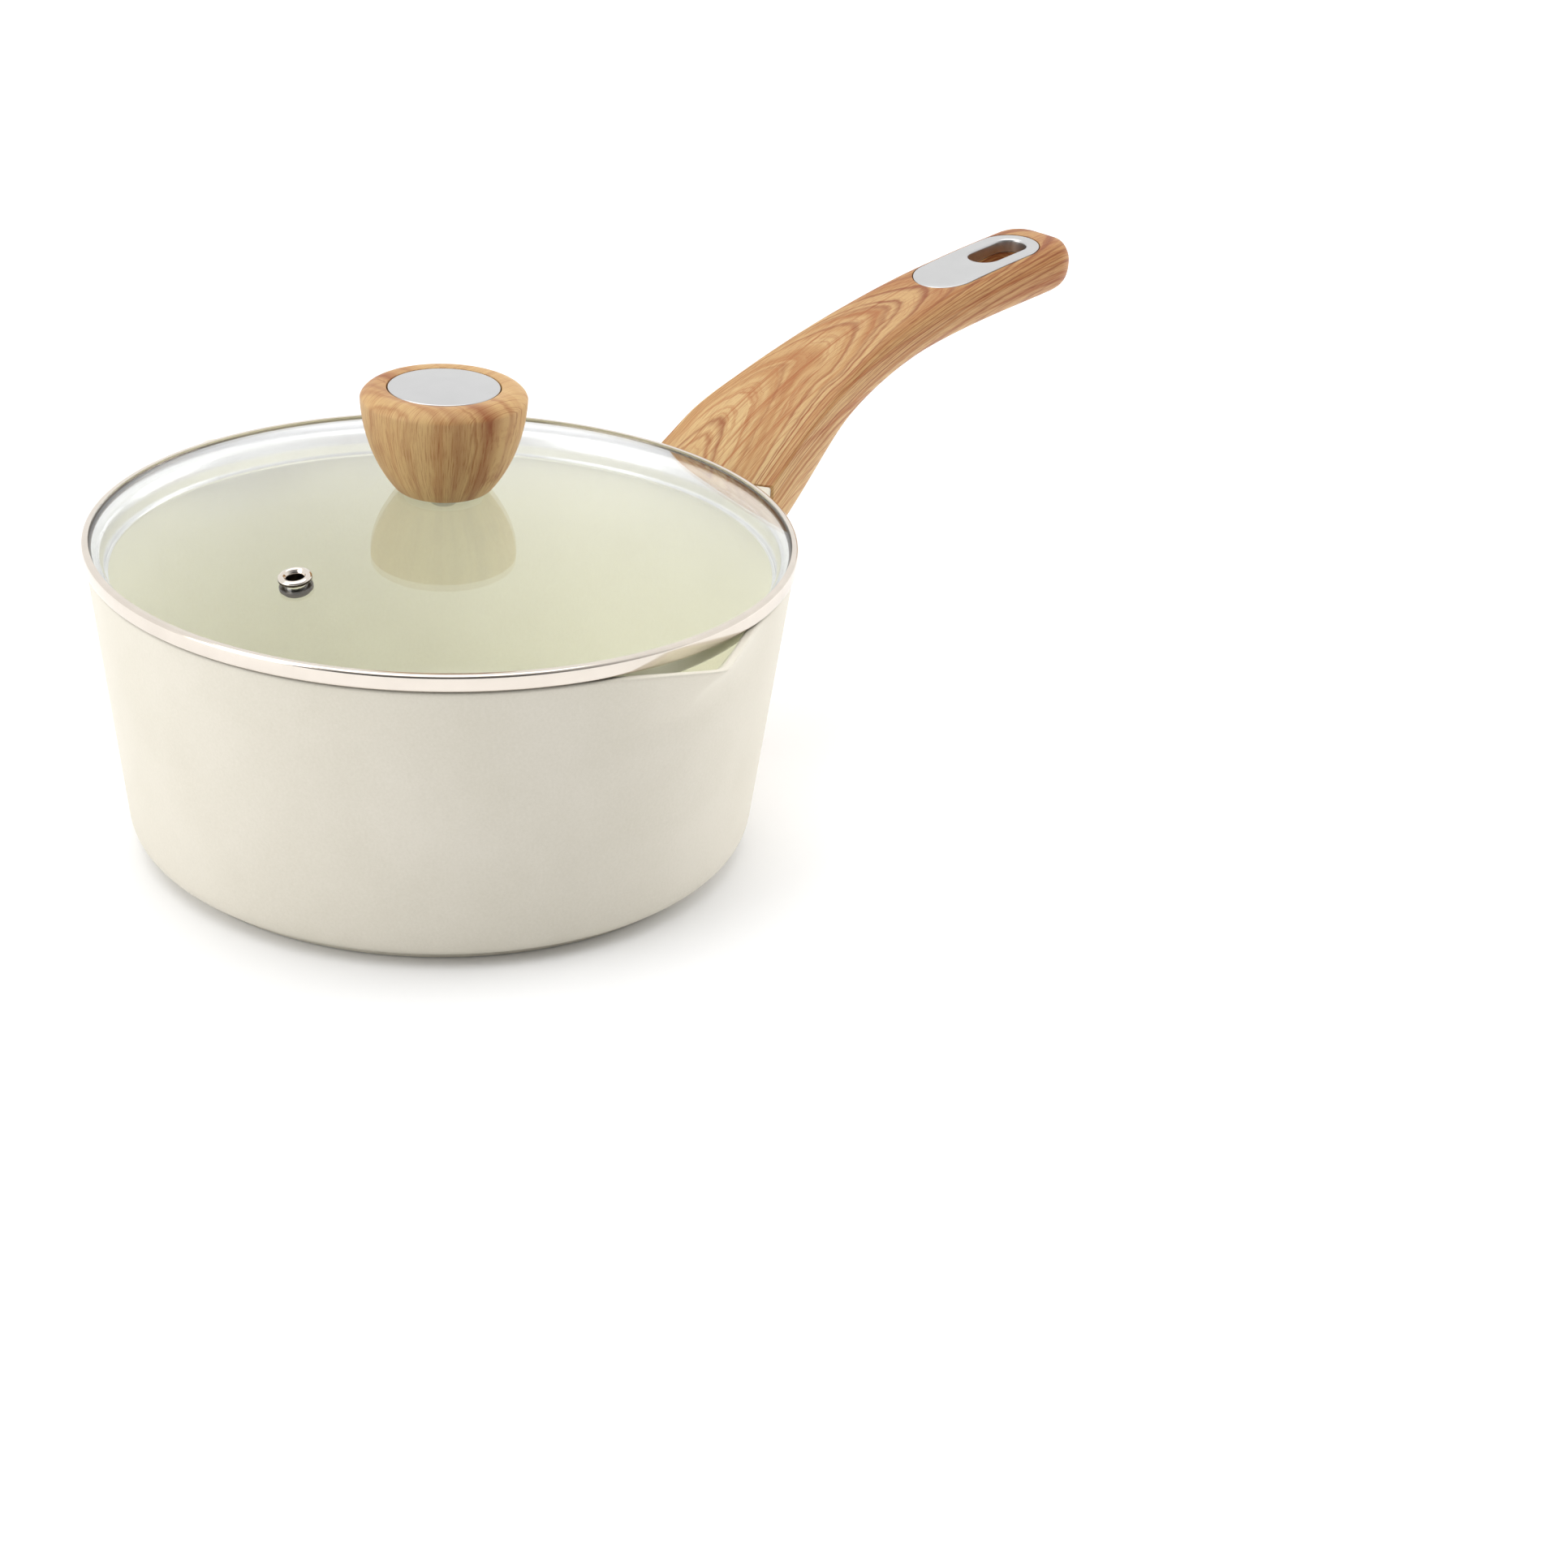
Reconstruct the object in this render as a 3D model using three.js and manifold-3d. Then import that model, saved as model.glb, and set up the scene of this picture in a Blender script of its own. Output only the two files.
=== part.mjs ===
// Saucepan with two pouring lips, a wood-look handle and a glass lid that lifts off.
// Millimetres. +Z is up, +X runs out along the handle, and the pouring lips face +Y and -Y.
// The origin is the middle of the underside of the base, on the axis of the pot.

import * as THREE from "three";
import { mergeVertices } from "three/addons/utils/BufferGeometryUtils.js";
import Module from "manifold-3d";

const wasm = await Module();
wasm.setup();

// ---------------------------------------------------------------- driving dimensions

const GAP = 0.3; // between pieces that touch on the real pan

// pot
const POT_HEIGHT = 90;
const RIM_RADIUS = 103; // outside, at the top
const WALL = 3;
const WALL_SLOPE = 0.1226; // outward run for each millimetre of height
const FLOOR_Z = 5.5; // cooking surface
const BASE_Z = 1.5; // underside of the casting around the foot
const OUTER_CORNER = 10;
const INNER_CORNER = 8;
const FOOT_RADIUS = 85;
const POCKET_RADIUS = 74; // takes the induction disc
const RIM_ROUND = 1;

// pouring lips, pressed out of the rim on both sides of the handle
const LIP_DIRECTION = 89; // degrees from the handle
const LIP_HEIGHT = 21; // how far down the wall the lip begins
const LIP_SIDE_DISTANCE = 100.7; // from the pot's axis to the straight sides of the V
const LIP_HALF_ANGLE = THREE.MathUtils.degToRad(31); // from the lip's middle to the foot of that distance
const LIP_BLEND = 1.2; // softens the join of the V and the round rim
const LIP_NOSE = THREE.MathUtils.degToRad(0.8); // softens the point of the V

// induction disc
const DISC_RADIUS = POCKET_RADIUS - GAP;
const DISC_THICKNESS = 0.9;
const DISC_HOLE_RADIUS = 2.6;
const DISC_HOLE_RINGS = [0, 6, 12]; // holes in each ring, from the middle outwards
const DISC_RING_STEP = 25;

// handle
const SEAM_X = 104.5; // where the handle comes nearest to the pot
const SEAM_RADIUS = 46; // plan radius of the joint between lug and handle
const HANDLE_STRAIGHT_END = 256; // the rounded end starts here
const HANDLE_END_LENGTH = 12;
const HANDLE_END_RISE = 0.09; // height gained for each millimetre along the rounded end
const LUG_CORNER = new THREE.Vector2(111.9, 25);
const LUG_SPREAD = THREE.MathUtils.degToRad(24.5); // where the lug leaves the round rim
const LUG_START_X = 92;
const LUG_END_X = 116;

// tongue cast on the lug, and the screw that holds the handle to it
const TONGUE_TILT = THREE.MathUtils.degToRad(32);
const TONGUE_ROOT = new THREE.Vector3(97, 0, 71);
const TONGUE_LENGTH = 54;
const TONGUE_WIDTH = 15;
const TONGUE_DEPTH = 9;
const SCREW_ALONG_TONGUE = 42;
const SCREW_RADIUS = 2.4;
const SCREW_HEAD_RADIUS = 4.3;
const SCREW_HEAD_DEPTH = 2.6;
const WASHER_DEPTH = 1;
const SCREW_WALL = 3; // handle material clamped between tongue and washer

// hanger plate
const PLATE_START = 205;
const PLATE_END = 257;
const PLATE_HALF_WIDTH = 10.6;
const PLATE_THICKNESS = 1.2;
const LOOP_START = 229.6;
const LOOP_END = 253;
const LOOP_HALF_WIDTH = 5.7;
const LOOP_LINER = 0.8; // wall of the turned-down edge round the loop
const LOOP_LINER_DEPTH = 4.4;
const LOOP_LEDGE = 0.4; // how much wider the handle's own loop is than the plate's, each side

// lid ring, a bent steel strip
const RING_RADIUS = 104;
const RING_TOP = 95.3;
const RING_BOTTOM = POT_HEIGHT + GAP;
const SHEET = 0.6;
const SKIRT_RADIUS = 97.6;
const SKIRT_BOTTOM = 82.6;
const HEM_RADIUS = 0.6; // of the rolled edge at the skirt's foot

// glass
const GLASS_RADIUS = 103;
const GLASS_EDGE_Z = 94.4;
const GLASS_TOP_Z = 109;
const GLASS_THICKNESS = 3.1;
const GLASS_HOLE_RADIUS = 4;

// vent eyelet
const VENT_DISTANCE = 69; // from the lid's axis
const VENT_ANGLE = THREE.MathUtils.degToRad(193.5);
const VENT_RADIUS = 4.8;
const VENT_BORE = 2.35;
const VENT_BARREL = 3;
const VENT_GLASS_HOLE = 3.4;
const VENT_WASHER_DEPTH = 1;

// knob
const GASKET_THICKNESS = 0.5;
const UPPER_GASKET_RADIUS = 11.6;
const LOWER_GASKET_RADIUS = 6.6;
const GASKET_BORE = 3;
const GASKET_POCKET = GASKET_THICKNESS + GAP; // depth of the recess in the knob's foot
const KNOB_FOOT_Z = GLASS_TOP_Z + GAP;
const KNOB_HEIGHT = 30.6;
const KNOB_FOOT_RADIUS = 14.2;
const KNOB_RADIUS = 24.1;
const KNOB_CREASE = 27.2; // height of the soft edge between side and top
const KNOB_TOP_RADIUS = 19.6;
const CAP_RADIUS = 16.2;
const CAP_THICKNESS = 1.6;
const CAP_SINK = 0.1; // the disc's edge lies this far below the knob's top
const INSERT_RADIUS = 4.7;
const INSERT_LENGTH = 16;
const KNOB_SCREW_RADIUS = 2.3;
const KNOB_HEAD_RADIUS = 4;
const KNOB_HEAD_DEPTH = 1.8;
const KNOB_WASHER_RADIUS = 6;
const KNOB_WASHER_BORE = 2.8;
const KNOB_WASHER_DEPTH = 0.7;

// facets
const AROUND_LID = 60;
const AROUND_KNOB = 36;
const AROUND_SMALL = 16;

// ---------------------------------------------------------------- materials

function material(color, roughness, metalness) {
  return new THREE.MeshStandardMaterial({ color, roughness, metalness });
}

const creamCoating = material(0xefe9d8, 0.55, 0);
const castSteel = material(0x9d9a94, 0.35, 1);
const woodFilm = material(0xc79b6b, 0.45, 0);
const satinSteel = material(0xd7d7d9, 0.28, 1);
const polishedSteel = material(0xd9d3cd, 0.12, 1);
const zincSteel = material(0xa9a9a6, 0.35, 1);
const brass = material(0xb5924c, 0.35, 1);
const clearSilicone = material(0xe4e4de, 0.6, 0);
const clearGlass = new THREE.MeshStandardMaterial({
  color: 0xe9f2ee,
  roughness: 0.05,
  metalness: 0,
  transparent: true,
  opacity: 0.3,
});

// ---------------------------------------------------------------- solids

function solidOf(geometry) {
  const bare = geometry.index ? geometry.clone() : mergeVertices(geometry);
  bare.deleteAttribute("normal");
  bare.deleteAttribute("uv");
  const merged = mergeVertices(bare, 1e-4);
  return new wasm.Manifold(
    new wasm.Mesh({
      numProp: 3,
      vertProperties: new Float32Array(merged.attributes.position.array),
      triVerts: new Uint32Array(merged.index.array),
    }),
  );
}

function geometryOf(solid) {
  const mesh = solid.getMesh();
  const geometry = new THREE.BufferGeometry();
  geometry.setAttribute("position", new THREE.BufferAttribute(mesh.vertProperties, 3));
  geometry.setIndex(new THREE.BufferAttribute(mesh.triVerts, 1));
  const facets = geometry.toNonIndexed();
  facets.computeVertexNormals();
  return facets;
}

// Turns a profile of [radius, z] points, listed anticlockwise, about the Z axis.
function turned(profile, segments) {
  const points = profile.map(([radius, z]) => new THREE.Vector2(radius, z));
  return new THREE.LatheGeometry(points, segments).rotateX(Math.PI / 2);
}

// The same for a ring, whose profile closes on itself instead of ending on the axis.
function turnedRing(profile, segments) {
  return turned([...profile, profile[0]], segments);
}

// Points of an arc, from one angle to another in degrees.
function arc(centreX, centreY, radius, from, to, steps) {
  const points = [];
  for (let i = 0; i <= steps; i++) {
    const angle = THREE.MathUtils.degToRad(from + ((to - from) * i) / steps);
    points.push([centreX + radius * Math.cos(angle), centreY + radius * Math.sin(angle)]);
  }
  return points;
}

// A strip of sheet metal: the outline left and right of a centre line.
function strip(path, thickness) {
  const left = [];
  const right = [];
  for (let i = 0; i < path.length; i++) {
    const [beforeX, beforeY] = path[Math.max(0, i - 1)];
    const [afterX, afterY] = path[Math.min(path.length - 1, i + 1)];
    const length = Math.hypot(afterX - beforeX, afterY - beforeY);
    const sideX = (-(afterY - beforeY) / length) * (thickness / 2);
    const sideY = ((afterX - beforeX) / length) * (thickness / 2);
    left.push([path[i][0] + sideX, path[i][1] + sideY]);
    right.push([path[i][0] - sideX, path[i][1] - sideY]);
  }
  return [...right, ...left.reverse()];
}

// Closed skin over equal rings of points, with a fan at each end.
function skin(rings) {
  const count = rings[0].length;
  const positions = rings.flat().flatMap((point) => [point.x, point.y, point.z]);
  const index = [];
  for (let r = 0; r + 1 < rings.length; r++) {
    for (let i = 0; i < count; i++) {
      const a = r * count + i;
      const b = r * count + ((i + 1) % count);
      index.push(a, b, b + count, a, b + count, a + count);
    }
  }
  const last = (rings.length - 1) * count;
  for (let i = 1; i + 1 < count; i++) {
    index.push(0, i + 1, i);
    index.push(last, last + i, last + i + 1);
  }
  const geometry = new THREE.BufferGeometry();
  geometry.setAttribute("position", new THREE.Float32BufferAttribute(positions, 3));
  geometry.setIndex(index);
  return geometry;
}

// Plan outline with round ends, between two X values.
function stadium(start, end, halfWidth) {
  const shape = new THREE.Shape();
  shape.moveTo(start + halfWidth, -halfWidth);
  shape.absarc(end - halfWidth, 0, halfWidth, -Math.PI / 2, Math.PI / 2, false);
  shape.absarc(start + halfWidth, 0, halfWidth, Math.PI / 2, (3 * Math.PI) / 2, false);
  return shape;
}

function uprightPrism(shape, low, high) {
  const options = { depth: high - low, bevelEnabled: false, curveSegments: 8 };
  return new THREE.ExtrudeGeometry(shape, options).translate(0, 0, low);
}

function uprightCylinder(radius, low, high, segments) {
  const cylinder = new THREE.CylinderGeometry(radius, radius, high - low, segments);
  return cylinder.rotateX(Math.PI / 2).translate(0, 0, (low + high) / 2);
}

// A smooth value that passes through a few [x, value] stations.
function through(stations) {
  const slope = (i) => {
    const [x0, v0] = stations[Math.max(0, i - 1)];
    const [x1, v1] = stations[Math.min(stations.length - 1, i + 1)];
    return (v1 - v0) / (x1 - x0);
  };
  return (x) => {
    let i = stations.findIndex(([station]) => station > x) - 1;
    if (i === -2) i = stations.length - 2;
    if (i < 0) i = 0;
    const [x0, v0] = stations[i];
    const [x1, v1] = stations[i + 1];
    const run = x1 - x0;
    const t = THREE.MathUtils.clamp((x - x0) / run, 0, 1);
    const ease = t * t * (3 - 2 * t);
    const leave = t * (1 - t) * (1 - t) * run * slope(i);
    const arrive = t * t * (t - 1) * run * slope(i + 1);
    return v0 + (v1 - v0) * ease + leave + arrive;
  };
}

// ---------------------------------------------------------------- pot

function outerWallRadius(z) {
  return RIM_RADIUS - WALL_SLOPE * (POT_HEIGHT - z);
}

function innerWallRadius(z) {
  return outerWallRadius(z) - WALL;
}

// How far the lip stands out from the round wall at an angle about the pot's axis.
function lipReach(angle) {
  const fromLip = Math.abs(Math.abs(angle) - THREE.MathUtils.degToRad(LIP_DIRECTION));
  const off = Math.hypot(fromLip, LIP_NOSE);
  const within = Math.min(off, LIP_HALF_ANGLE);
  const out = LIP_SIDE_DISTANCE / Math.cos(LIP_HALF_ANGLE - within) - RIM_RADIUS;
  const soft = (out + Math.hypot(out, LIP_BLEND)) / 2;
  const fade = THREE.MathUtils.smoothstep(LIP_HALF_ANGLE - off, 0, LIP_HALF_ANGLE / 3);
  return soft * fade;
}

// 0 where the lip begins on the wall, 1 at the rim.
function lipShare(z) {
  const rise = THREE.MathUtils.clamp((z - POT_HEIGHT + LIP_HEIGHT) / LIP_HEIGHT, 0, 1);
  return rise ** 1.6;
}

function potProfile() {
  const wallLean = -THREE.MathUtils.radToDeg(Math.atan(WALL_SLOPE));
  const leanCosine = Math.cos(Math.atan(WALL_SLOPE));
  const outerZ = BASE_Z + OUTER_CORNER;
  const outerX = outerWallRadius(outerZ) - OUTER_CORNER / leanCosine;
  const footTurn = -THREE.MathUtils.radToDeg(Math.acos((FOOT_RADIUS - outerX) / OUTER_CORNER));
  const innerZ = FLOOR_Z + INNER_CORNER;
  const innerX = innerWallRadius(innerZ) - INNER_CORNER / leanCosine;
  const pocketZ = DISC_THICKNESS + GAP;
  const wallHeights = [0, 0.4, 0.7, 0.9].map((part) => POT_HEIGHT - LIP_HEIGHT * (1 - part));
  const roundZ = POT_HEIGHT - RIM_ROUND;
  return [
    [0, pocketZ],
    [POCKET_RADIUS, pocketZ],
    [POCKET_RADIUS, 0],
    [FOOT_RADIUS - 0.4, 0],
    [FOOT_RADIUS, 0.4],
    ...arc(outerX, outerZ, OUTER_CORNER, footTurn, wallLean, 4),
    ...wallHeights.map((z) => [outerWallRadius(z), z]),
    ...arc(outerWallRadius(roundZ) - RIM_ROUND, roundZ, RIM_ROUND, 0, 90, 2),
    ...arc(innerWallRadius(roundZ) + RIM_ROUND, roundZ, RIM_ROUND, 90, 180, 2),
    ...wallHeights.reverse().map((z) => [innerWallRadius(z), z]),
    ...arc(innerX, innerZ, INNER_CORNER, wallLean, -90, 3),
    [0, FLOOR_Z],
  ];
}

// Angles round the pot: coarse on the round wall, fine across each lip.
function potAngles() {
  const degrees = [];
  for (let round = -180; round < 180; round += 6) {
    if (Math.abs(Math.abs(round) - LIP_DIRECTION) > 26) degrees.push(round);
  }
  for (let off = -24; off <= 24; off += 3) {
    degrees.push(LIP_DIRECTION + off, -LIP_DIRECTION - off);
  }
  return degrees.sort((a, b) => a - b).map((value) => THREE.MathUtils.degToRad(value));
}

function potShell() {
  const angles = potAngles();
  const profile = potProfile();
  const positions = [];
  const index = [];
  const inner = profile.slice(1, -1);
  for (const [radius, z] of inner) {
    for (const angle of angles) {
      const out = radius + lipReach(angle) * lipShare(z);
      positions.push(out * Math.cos(angle), out * Math.sin(angle), z);
    }
  }
  const count = angles.length;
  for (let ring = 0; ring + 1 < inner.length; ring++) {
    for (let i = 0; i < count; i++) {
      const a = ring * count + i;
      const b = ring * count + ((i + 1) % count);
      index.push(a, b, b + count, a, b + count, a + count);
    }
  }
  const low = inner.length * count;
  positions.push(0, 0, profile[0][1], 0, 0, FLOOR_Z);
  const last = (inner.length - 1) * count;
  for (let i = 0; i < count; i++) {
    const next = (i + 1) % count;
    index.push(low, next, i);
    index.push(low + 1, last + i, last + next);
  }
  const geometry = new THREE.BufferGeometry();
  geometry.setAttribute("position", new THREE.Float32BufferAttribute(positions, 3));
  geometry.setIndex(index);
  return geometry;
}

// ---------------------------------------------------------------- handle and lug shapes

const topRail = through([
  [SEAM_X, POT_HEIGHT],
  [112, 94.7],
  [125, 103],
  [140, 110.2],
  [160, 118.7],
  [180, 125],
  [205, 130.9],
  [230, 134.8],
  [HANDLE_STRAIGHT_END, 137.6],
]);
const bottomRail = through([
  [SEAM_X, 55.5],
  [112, 60],
  [130, 73.2],
  [155, 94],
  [185, 108.4],
  [215, 114.9],
  [HANDLE_STRAIGHT_END, 119.5],
]);
const handleHalfWidth = through([
  [SEAM_X, 26.6],
  [112, 25.3],
  [125, 23.4],
  [140, 20.8],
  [160, 17.7],
  [180, 16.1],
  [205, 15.5],
  [HANDLE_STRAIGHT_END, 15.6],
]);
const handleCrown = through([
  [SEAM_X, 5],
  [112, 4.6],
  [125, 2.8],
  [140, 1.9],
  [160, 1.2],
  [180, 0.5],
  [200, 0.1],
  [HANDLE_STRAIGHT_END, 0.1],
]);
const handleEdgeRound = through([
  [SEAM_X, 1.2],
  [130, 1.6],
  [215, 6.3],
  [HANDLE_STRAIGHT_END, 6.5],
]);

// Squareness of the underside's curve.
const handleLowerPower = through([
  [SEAM_X, 3.6],
  [130, 3.2],
  [160, 2.5],
  [HANDLE_STRAIGHT_END, 2.5],
]);

// D-shaped section across the handle: a crowned top, round upper edges and a curved underside.
function section({ x, top, bottom, halfWidth, crown, round, power }) {
  const edge = Math.min(round, halfWidth * 0.8);
  const flat = halfWidth - edge;
  const topAt = (y) => top - crown * (y / halfWidth) ** 2;
  const half = [];
  for (let i = 0; i <= 3; i++) half.push([(flat * i) / 3, topAt((flat * i) / 3)]);
  const shoulder = topAt(flat) - edge;
  half.push(...arc(flat, shoulder, edge, 67.5, 0, 3));
  for (let i = 1; i <= 6; i++) {
    const turn = (Math.PI / 2) * (i / 6);
    const y = halfWidth * Math.cos(turn) ** (2 / power);
    half.push([y, shoulder - (shoulder - bottom) * Math.sin(turn) ** (2 / power)]);
  }
  const mirrored = half.slice(1, -1).reverse();
  const outline = [...half.map(([y, z]) => [-y, z]), ...mirrored];
  return outline.map(([y, z]) => new THREE.Vector3(x, y, z));
}

function handleSection(x) {
  return section({
    x,
    top: topRail(x),
    bottom: bottomRail(x),
    halfWidth: handleHalfWidth(x),
    crown: handleCrown(x),
    round: handleEdgeRound(x),
    power: handleLowerPower(x),
  });
}

function handleLoft() {
  const rings = [];
  const steps = 16;
  for (let i = 0; i <= steps; i++) {
    rings.push(handleSection(SEAM_X - 2 + ((HANDLE_STRAIGHT_END - SEAM_X + 2) * i) / steps));
  }
  for (const degrees of [25, 45, 62, 80]) {
    const turn = THREE.MathUtils.degToRad(degrees);
    const past = HANDLE_END_LENGTH * Math.sin(turn);
    const drop = 1 - Math.cos(turn);
    rings.push(
      section({
        x: HANDLE_STRAIGHT_END + past,
        top: topRail(HANDLE_STRAIGHT_END) + HANDLE_END_RISE * past - 5.5 * drop ** 1.5,
        bottom: bottomRail(HANDLE_STRAIGHT_END) + HANDLE_END_RISE * past + 2.5 * drop ** 2,
        halfWidth: handleHalfWidth(HANDLE_STRAIGHT_END) * Math.cos(turn) ** 0.8,
        crown: handleCrown(HANDLE_STRAIGHT_END),
        round: handleEdgeRound(HANDLE_STRAIGHT_END),
        power: handleLowerPower(HANDLE_STRAIGHT_END),
      }),
    );
  }
  return skin(rings);
}

// Half width of the lug, which spreads into the round rim.
function lugHalfWidth(x) {
  const start = new THREE.Vector2(RIM_RADIUS * Math.cos(LUG_SPREAD), RIM_RADIUS * Math.sin(LUG_SPREAD));
  const leave = new THREE.Vector2(Math.sin(LUG_SPREAD), -Math.cos(LUG_SPREAD)).multiplyScalar(12);
  const spread = new THREE.QuadraticBezierCurve(start, start.clone().add(leave), LUG_CORNER);
  const points = spread.getPoints(24);
  const next = points.findIndex((point) => point.x >= x);
  if (next === -1) return handleHalfWidth(x);
  if (next === 0) return points[0].y;
  const before = points[next - 1];
  const after = points[next];
  return THREE.MathUtils.mapLinear(x, before.x, after.x, before.y, after.y);
}

function lugLoft() {
  const rings = [];
  const steps = 12;
  for (let i = 0; i <= steps; i++) {
    const x = LUG_START_X + ((LUG_END_X - LUG_START_X) * i) / steps;
    const out = THREE.MathUtils.clamp((x - SEAM_X) / (LUG_CORNER.x - SEAM_X), 0, 1);
    rings.push(
      section({
        x,
        top: POT_HEIGHT,
        bottom: bottomRail(Math.max(x, SEAM_X)) - 3 * (1 - out),
        halfWidth: lugHalfWidth(x),
        crown: 0,
        round: handleEdgeRound(SEAM_X),
        power: handleLowerPower(SEAM_X),
      }),
    );
  }
  return skin(rings);
}

function seamCylinder(radius) {
  return uprightCylinder(radius, 0, 2 * POT_HEIGHT, 96).translate(SEAM_X + SEAM_RADIUS, 0, 0);
}

// A bar along the tongue's own line, in the tongue's frame: X along it, Z square to it.
function tongueFrame() {
  const frame = new THREE.Matrix4().makeRotationY(-TONGUE_TILT);
  return frame.setPosition(TONGUE_ROOT);
}

function tongueBar(grow) {
  const length = TONGUE_LENGTH + grow;
  const bar = new THREE.BoxGeometry(length, TONGUE_WIDTH + 2 * grow, TONGUE_DEPTH + 2 * grow);
  return bar.translate(length / 2, 0, 0).applyMatrix4(tongueFrame());
}

// A cylinder across the tongue at the screw, between two heights below the tongue's middle.
function acrossTongue(radius, from, to, segments) {
  const cylinder = uprightCylinder(radius, -to, -from, segments);
  return cylinder.translate(SCREW_ALONG_TONGUE, 0, 0).applyMatrix4(tongueFrame());
}

const washerTop = TONGUE_DEPTH / 2 + GAP + SCREW_WALL + GAP;
const washerBottom = washerTop + WASHER_DEPTH;
const headTop = washerBottom + GAP;
const headBottom = headTop + SCREW_HEAD_DEPTH;

function potBody() {
  const outsideOfSeam = solidOf(seamCylinder(SEAM_RADIUS));
  const potFill = solidOf(uprightCylinder(innerWallRadius(POT_HEIGHT / 2) + 1, FLOOR_Z, 200, 48));
  const roundInside = solidOf(innerWallFill());
  const lug = solidOf(lugLoft()).subtract(outsideOfSeam);
  const tongue = solidOf(tongueBar(0));
  const lugAndTongue = lug.add(tongue).subtract(potFill).subtract(roundInside);
  const tapping = solidOf(acrossTongue(SCREW_RADIUS + GAP, -TONGUE_DEPTH, TONGUE_DEPTH, AROUND_SMALL));
  return solidOf(potShell()).add(lugAndTongue).subtract(tapping);
}

// The space inside the round wall, a little inside the wall's own face, so that nothing pokes through it.
function innerWallFill() {
  const inside = WALL / 2;
  return turned(
    [
      [0, FLOOR_Z + INNER_CORNER],
      [innerWallRadius(FLOOR_Z + INNER_CORNER) + inside, FLOOR_Z + INNER_CORNER],
      [innerWallRadius(POT_HEIGHT) + inside, POT_HEIGHT + 1],
      [0, POT_HEIGHT + 1],
    ],
    AROUND_LID,
  );
}

function inductionDisc() {
  const plate = solidOf(
    turned(
      [
        [0, 0],
        [DISC_RADIUS - 0.2, 0],
        [DISC_RADIUS, 0.2],
        [DISC_RADIUS, DISC_THICKNESS],
        [0, DISC_THICKNESS],
      ],
      AROUND_LID,
    ),
  );
  let disc = plate;
  DISC_HOLE_RINGS.forEach((holes, ring) => {
    for (let i = 0; i < holes; i++) {
      const angle = (2 * Math.PI * (i + 0.5 * (ring % 2))) / holes;
      const hole = uprightCylinder(DISC_HOLE_RADIUS, -1, DISC_THICKNESS + 1, 8);
      hole.translate(ring * DISC_RING_STEP * Math.cos(angle), ring * DISC_RING_STEP * Math.sin(angle), 0);
      disc = disc.subtract(solidOf(hole));
    }
  });
  return disc;
}

// A slab that follows the top of the handle, between two heights above or below it.
function topSlab(low, high) {
  const rings = [];
  const steps = 8;
  const halfWidth = PLATE_HALF_WIDTH + 2;
  for (let i = 0; i <= steps; i++) {
    const x = PLATE_START - 2 + ((PLATE_END - PLATE_START + 4) * i) / steps;
    const along = Math.min(x, HANDLE_STRAIGHT_END);
    const top = topRail(along) + HANDLE_END_RISE * (x - along);
    rings.push([
      new THREE.Vector3(x, -halfWidth, top + high),
      new THREE.Vector3(x, halfWidth, top + high),
      new THREE.Vector3(x, halfWidth, top + low),
      new THREE.Vector3(x, -halfWidth, top + low),
    ].reverse());
  }
  return skin(rings);
}

function loopPrism(grow) {
  const shape = stadium(LOOP_START - grow, LOOP_END + grow, LOOP_HALF_WIDTH + grow);
  return uprightPrism(shape, POT_HEIGHT, 2 * POT_HEIGHT);
}

function platePrism(grow) {
  const shape = stadium(PLATE_START - grow, PLATE_END + grow, PLATE_HALF_WIDTH + grow);
  return uprightPrism(shape, POT_HEIGHT, 2 * POT_HEIGHT);
}

function handleBody() {
  const keepNear = new THREE.BoxGeometry(60, 80, 120).translate(SEAM_X + 3, 0, POT_HEIGHT);
  const beyondSeam = solidOf(keepNear).subtract(solidOf(seamCylinder(SEAM_RADIUS - GAP)));
  const socket = solidOf(tongueBar(GAP));
  const clearance = solidOf(acrossTongue(SCREW_RADIUS + GAP, 0, headBottom, AROUND_SMALL));
  const counterbore = solidOf(acrossTongue(SCREW_HEAD_RADIUS + 2 * GAP, washerTop - GAP, 40, AROUND_SMALL));
  const recess = solidOf(topSlab(-PLATE_THICKNESS - GAP, 10)).intersect(solidOf(platePrism(GAP)));
  const linerRoom = solidOf(topSlab(-LOOP_LINER_DEPTH - GAP, 10));
  const liner = linerRoom.intersect(solidOf(loopPrism(LOOP_LINER + GAP)));
  return solidOf(handleLoft())
    .subtract(beyondSeam)
    .subtract(socket)
    .subtract(clearance)
    .subtract(counterbore)
    .subtract(recess)
    .subtract(liner)
    .subtract(solidOf(loopPrism(LOOP_LEDGE)));
}

function hangerPlate() {
  const plate = solidOf(topSlab(-PLATE_THICKNESS, 0)).intersect(solidOf(platePrism(0)));
  const liner = solidOf(topSlab(-LOOP_LINER_DEPTH, -0.2)).intersect(solidOf(loopPrism(LOOP_LINER)));
  return plate.add(liner).subtract(solidOf(loopPrism(0)));
}

// Cross recess of a driver, in a frame whose Z points out of the head.
function crossRecess(size, depth) {
  const blade = solidOf(new THREE.BoxGeometry(size, size / 4, 2 * depth));
  return blade.add(solidOf(new THREE.BoxGeometry(size / 4, size, 2 * depth)));
}

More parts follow.
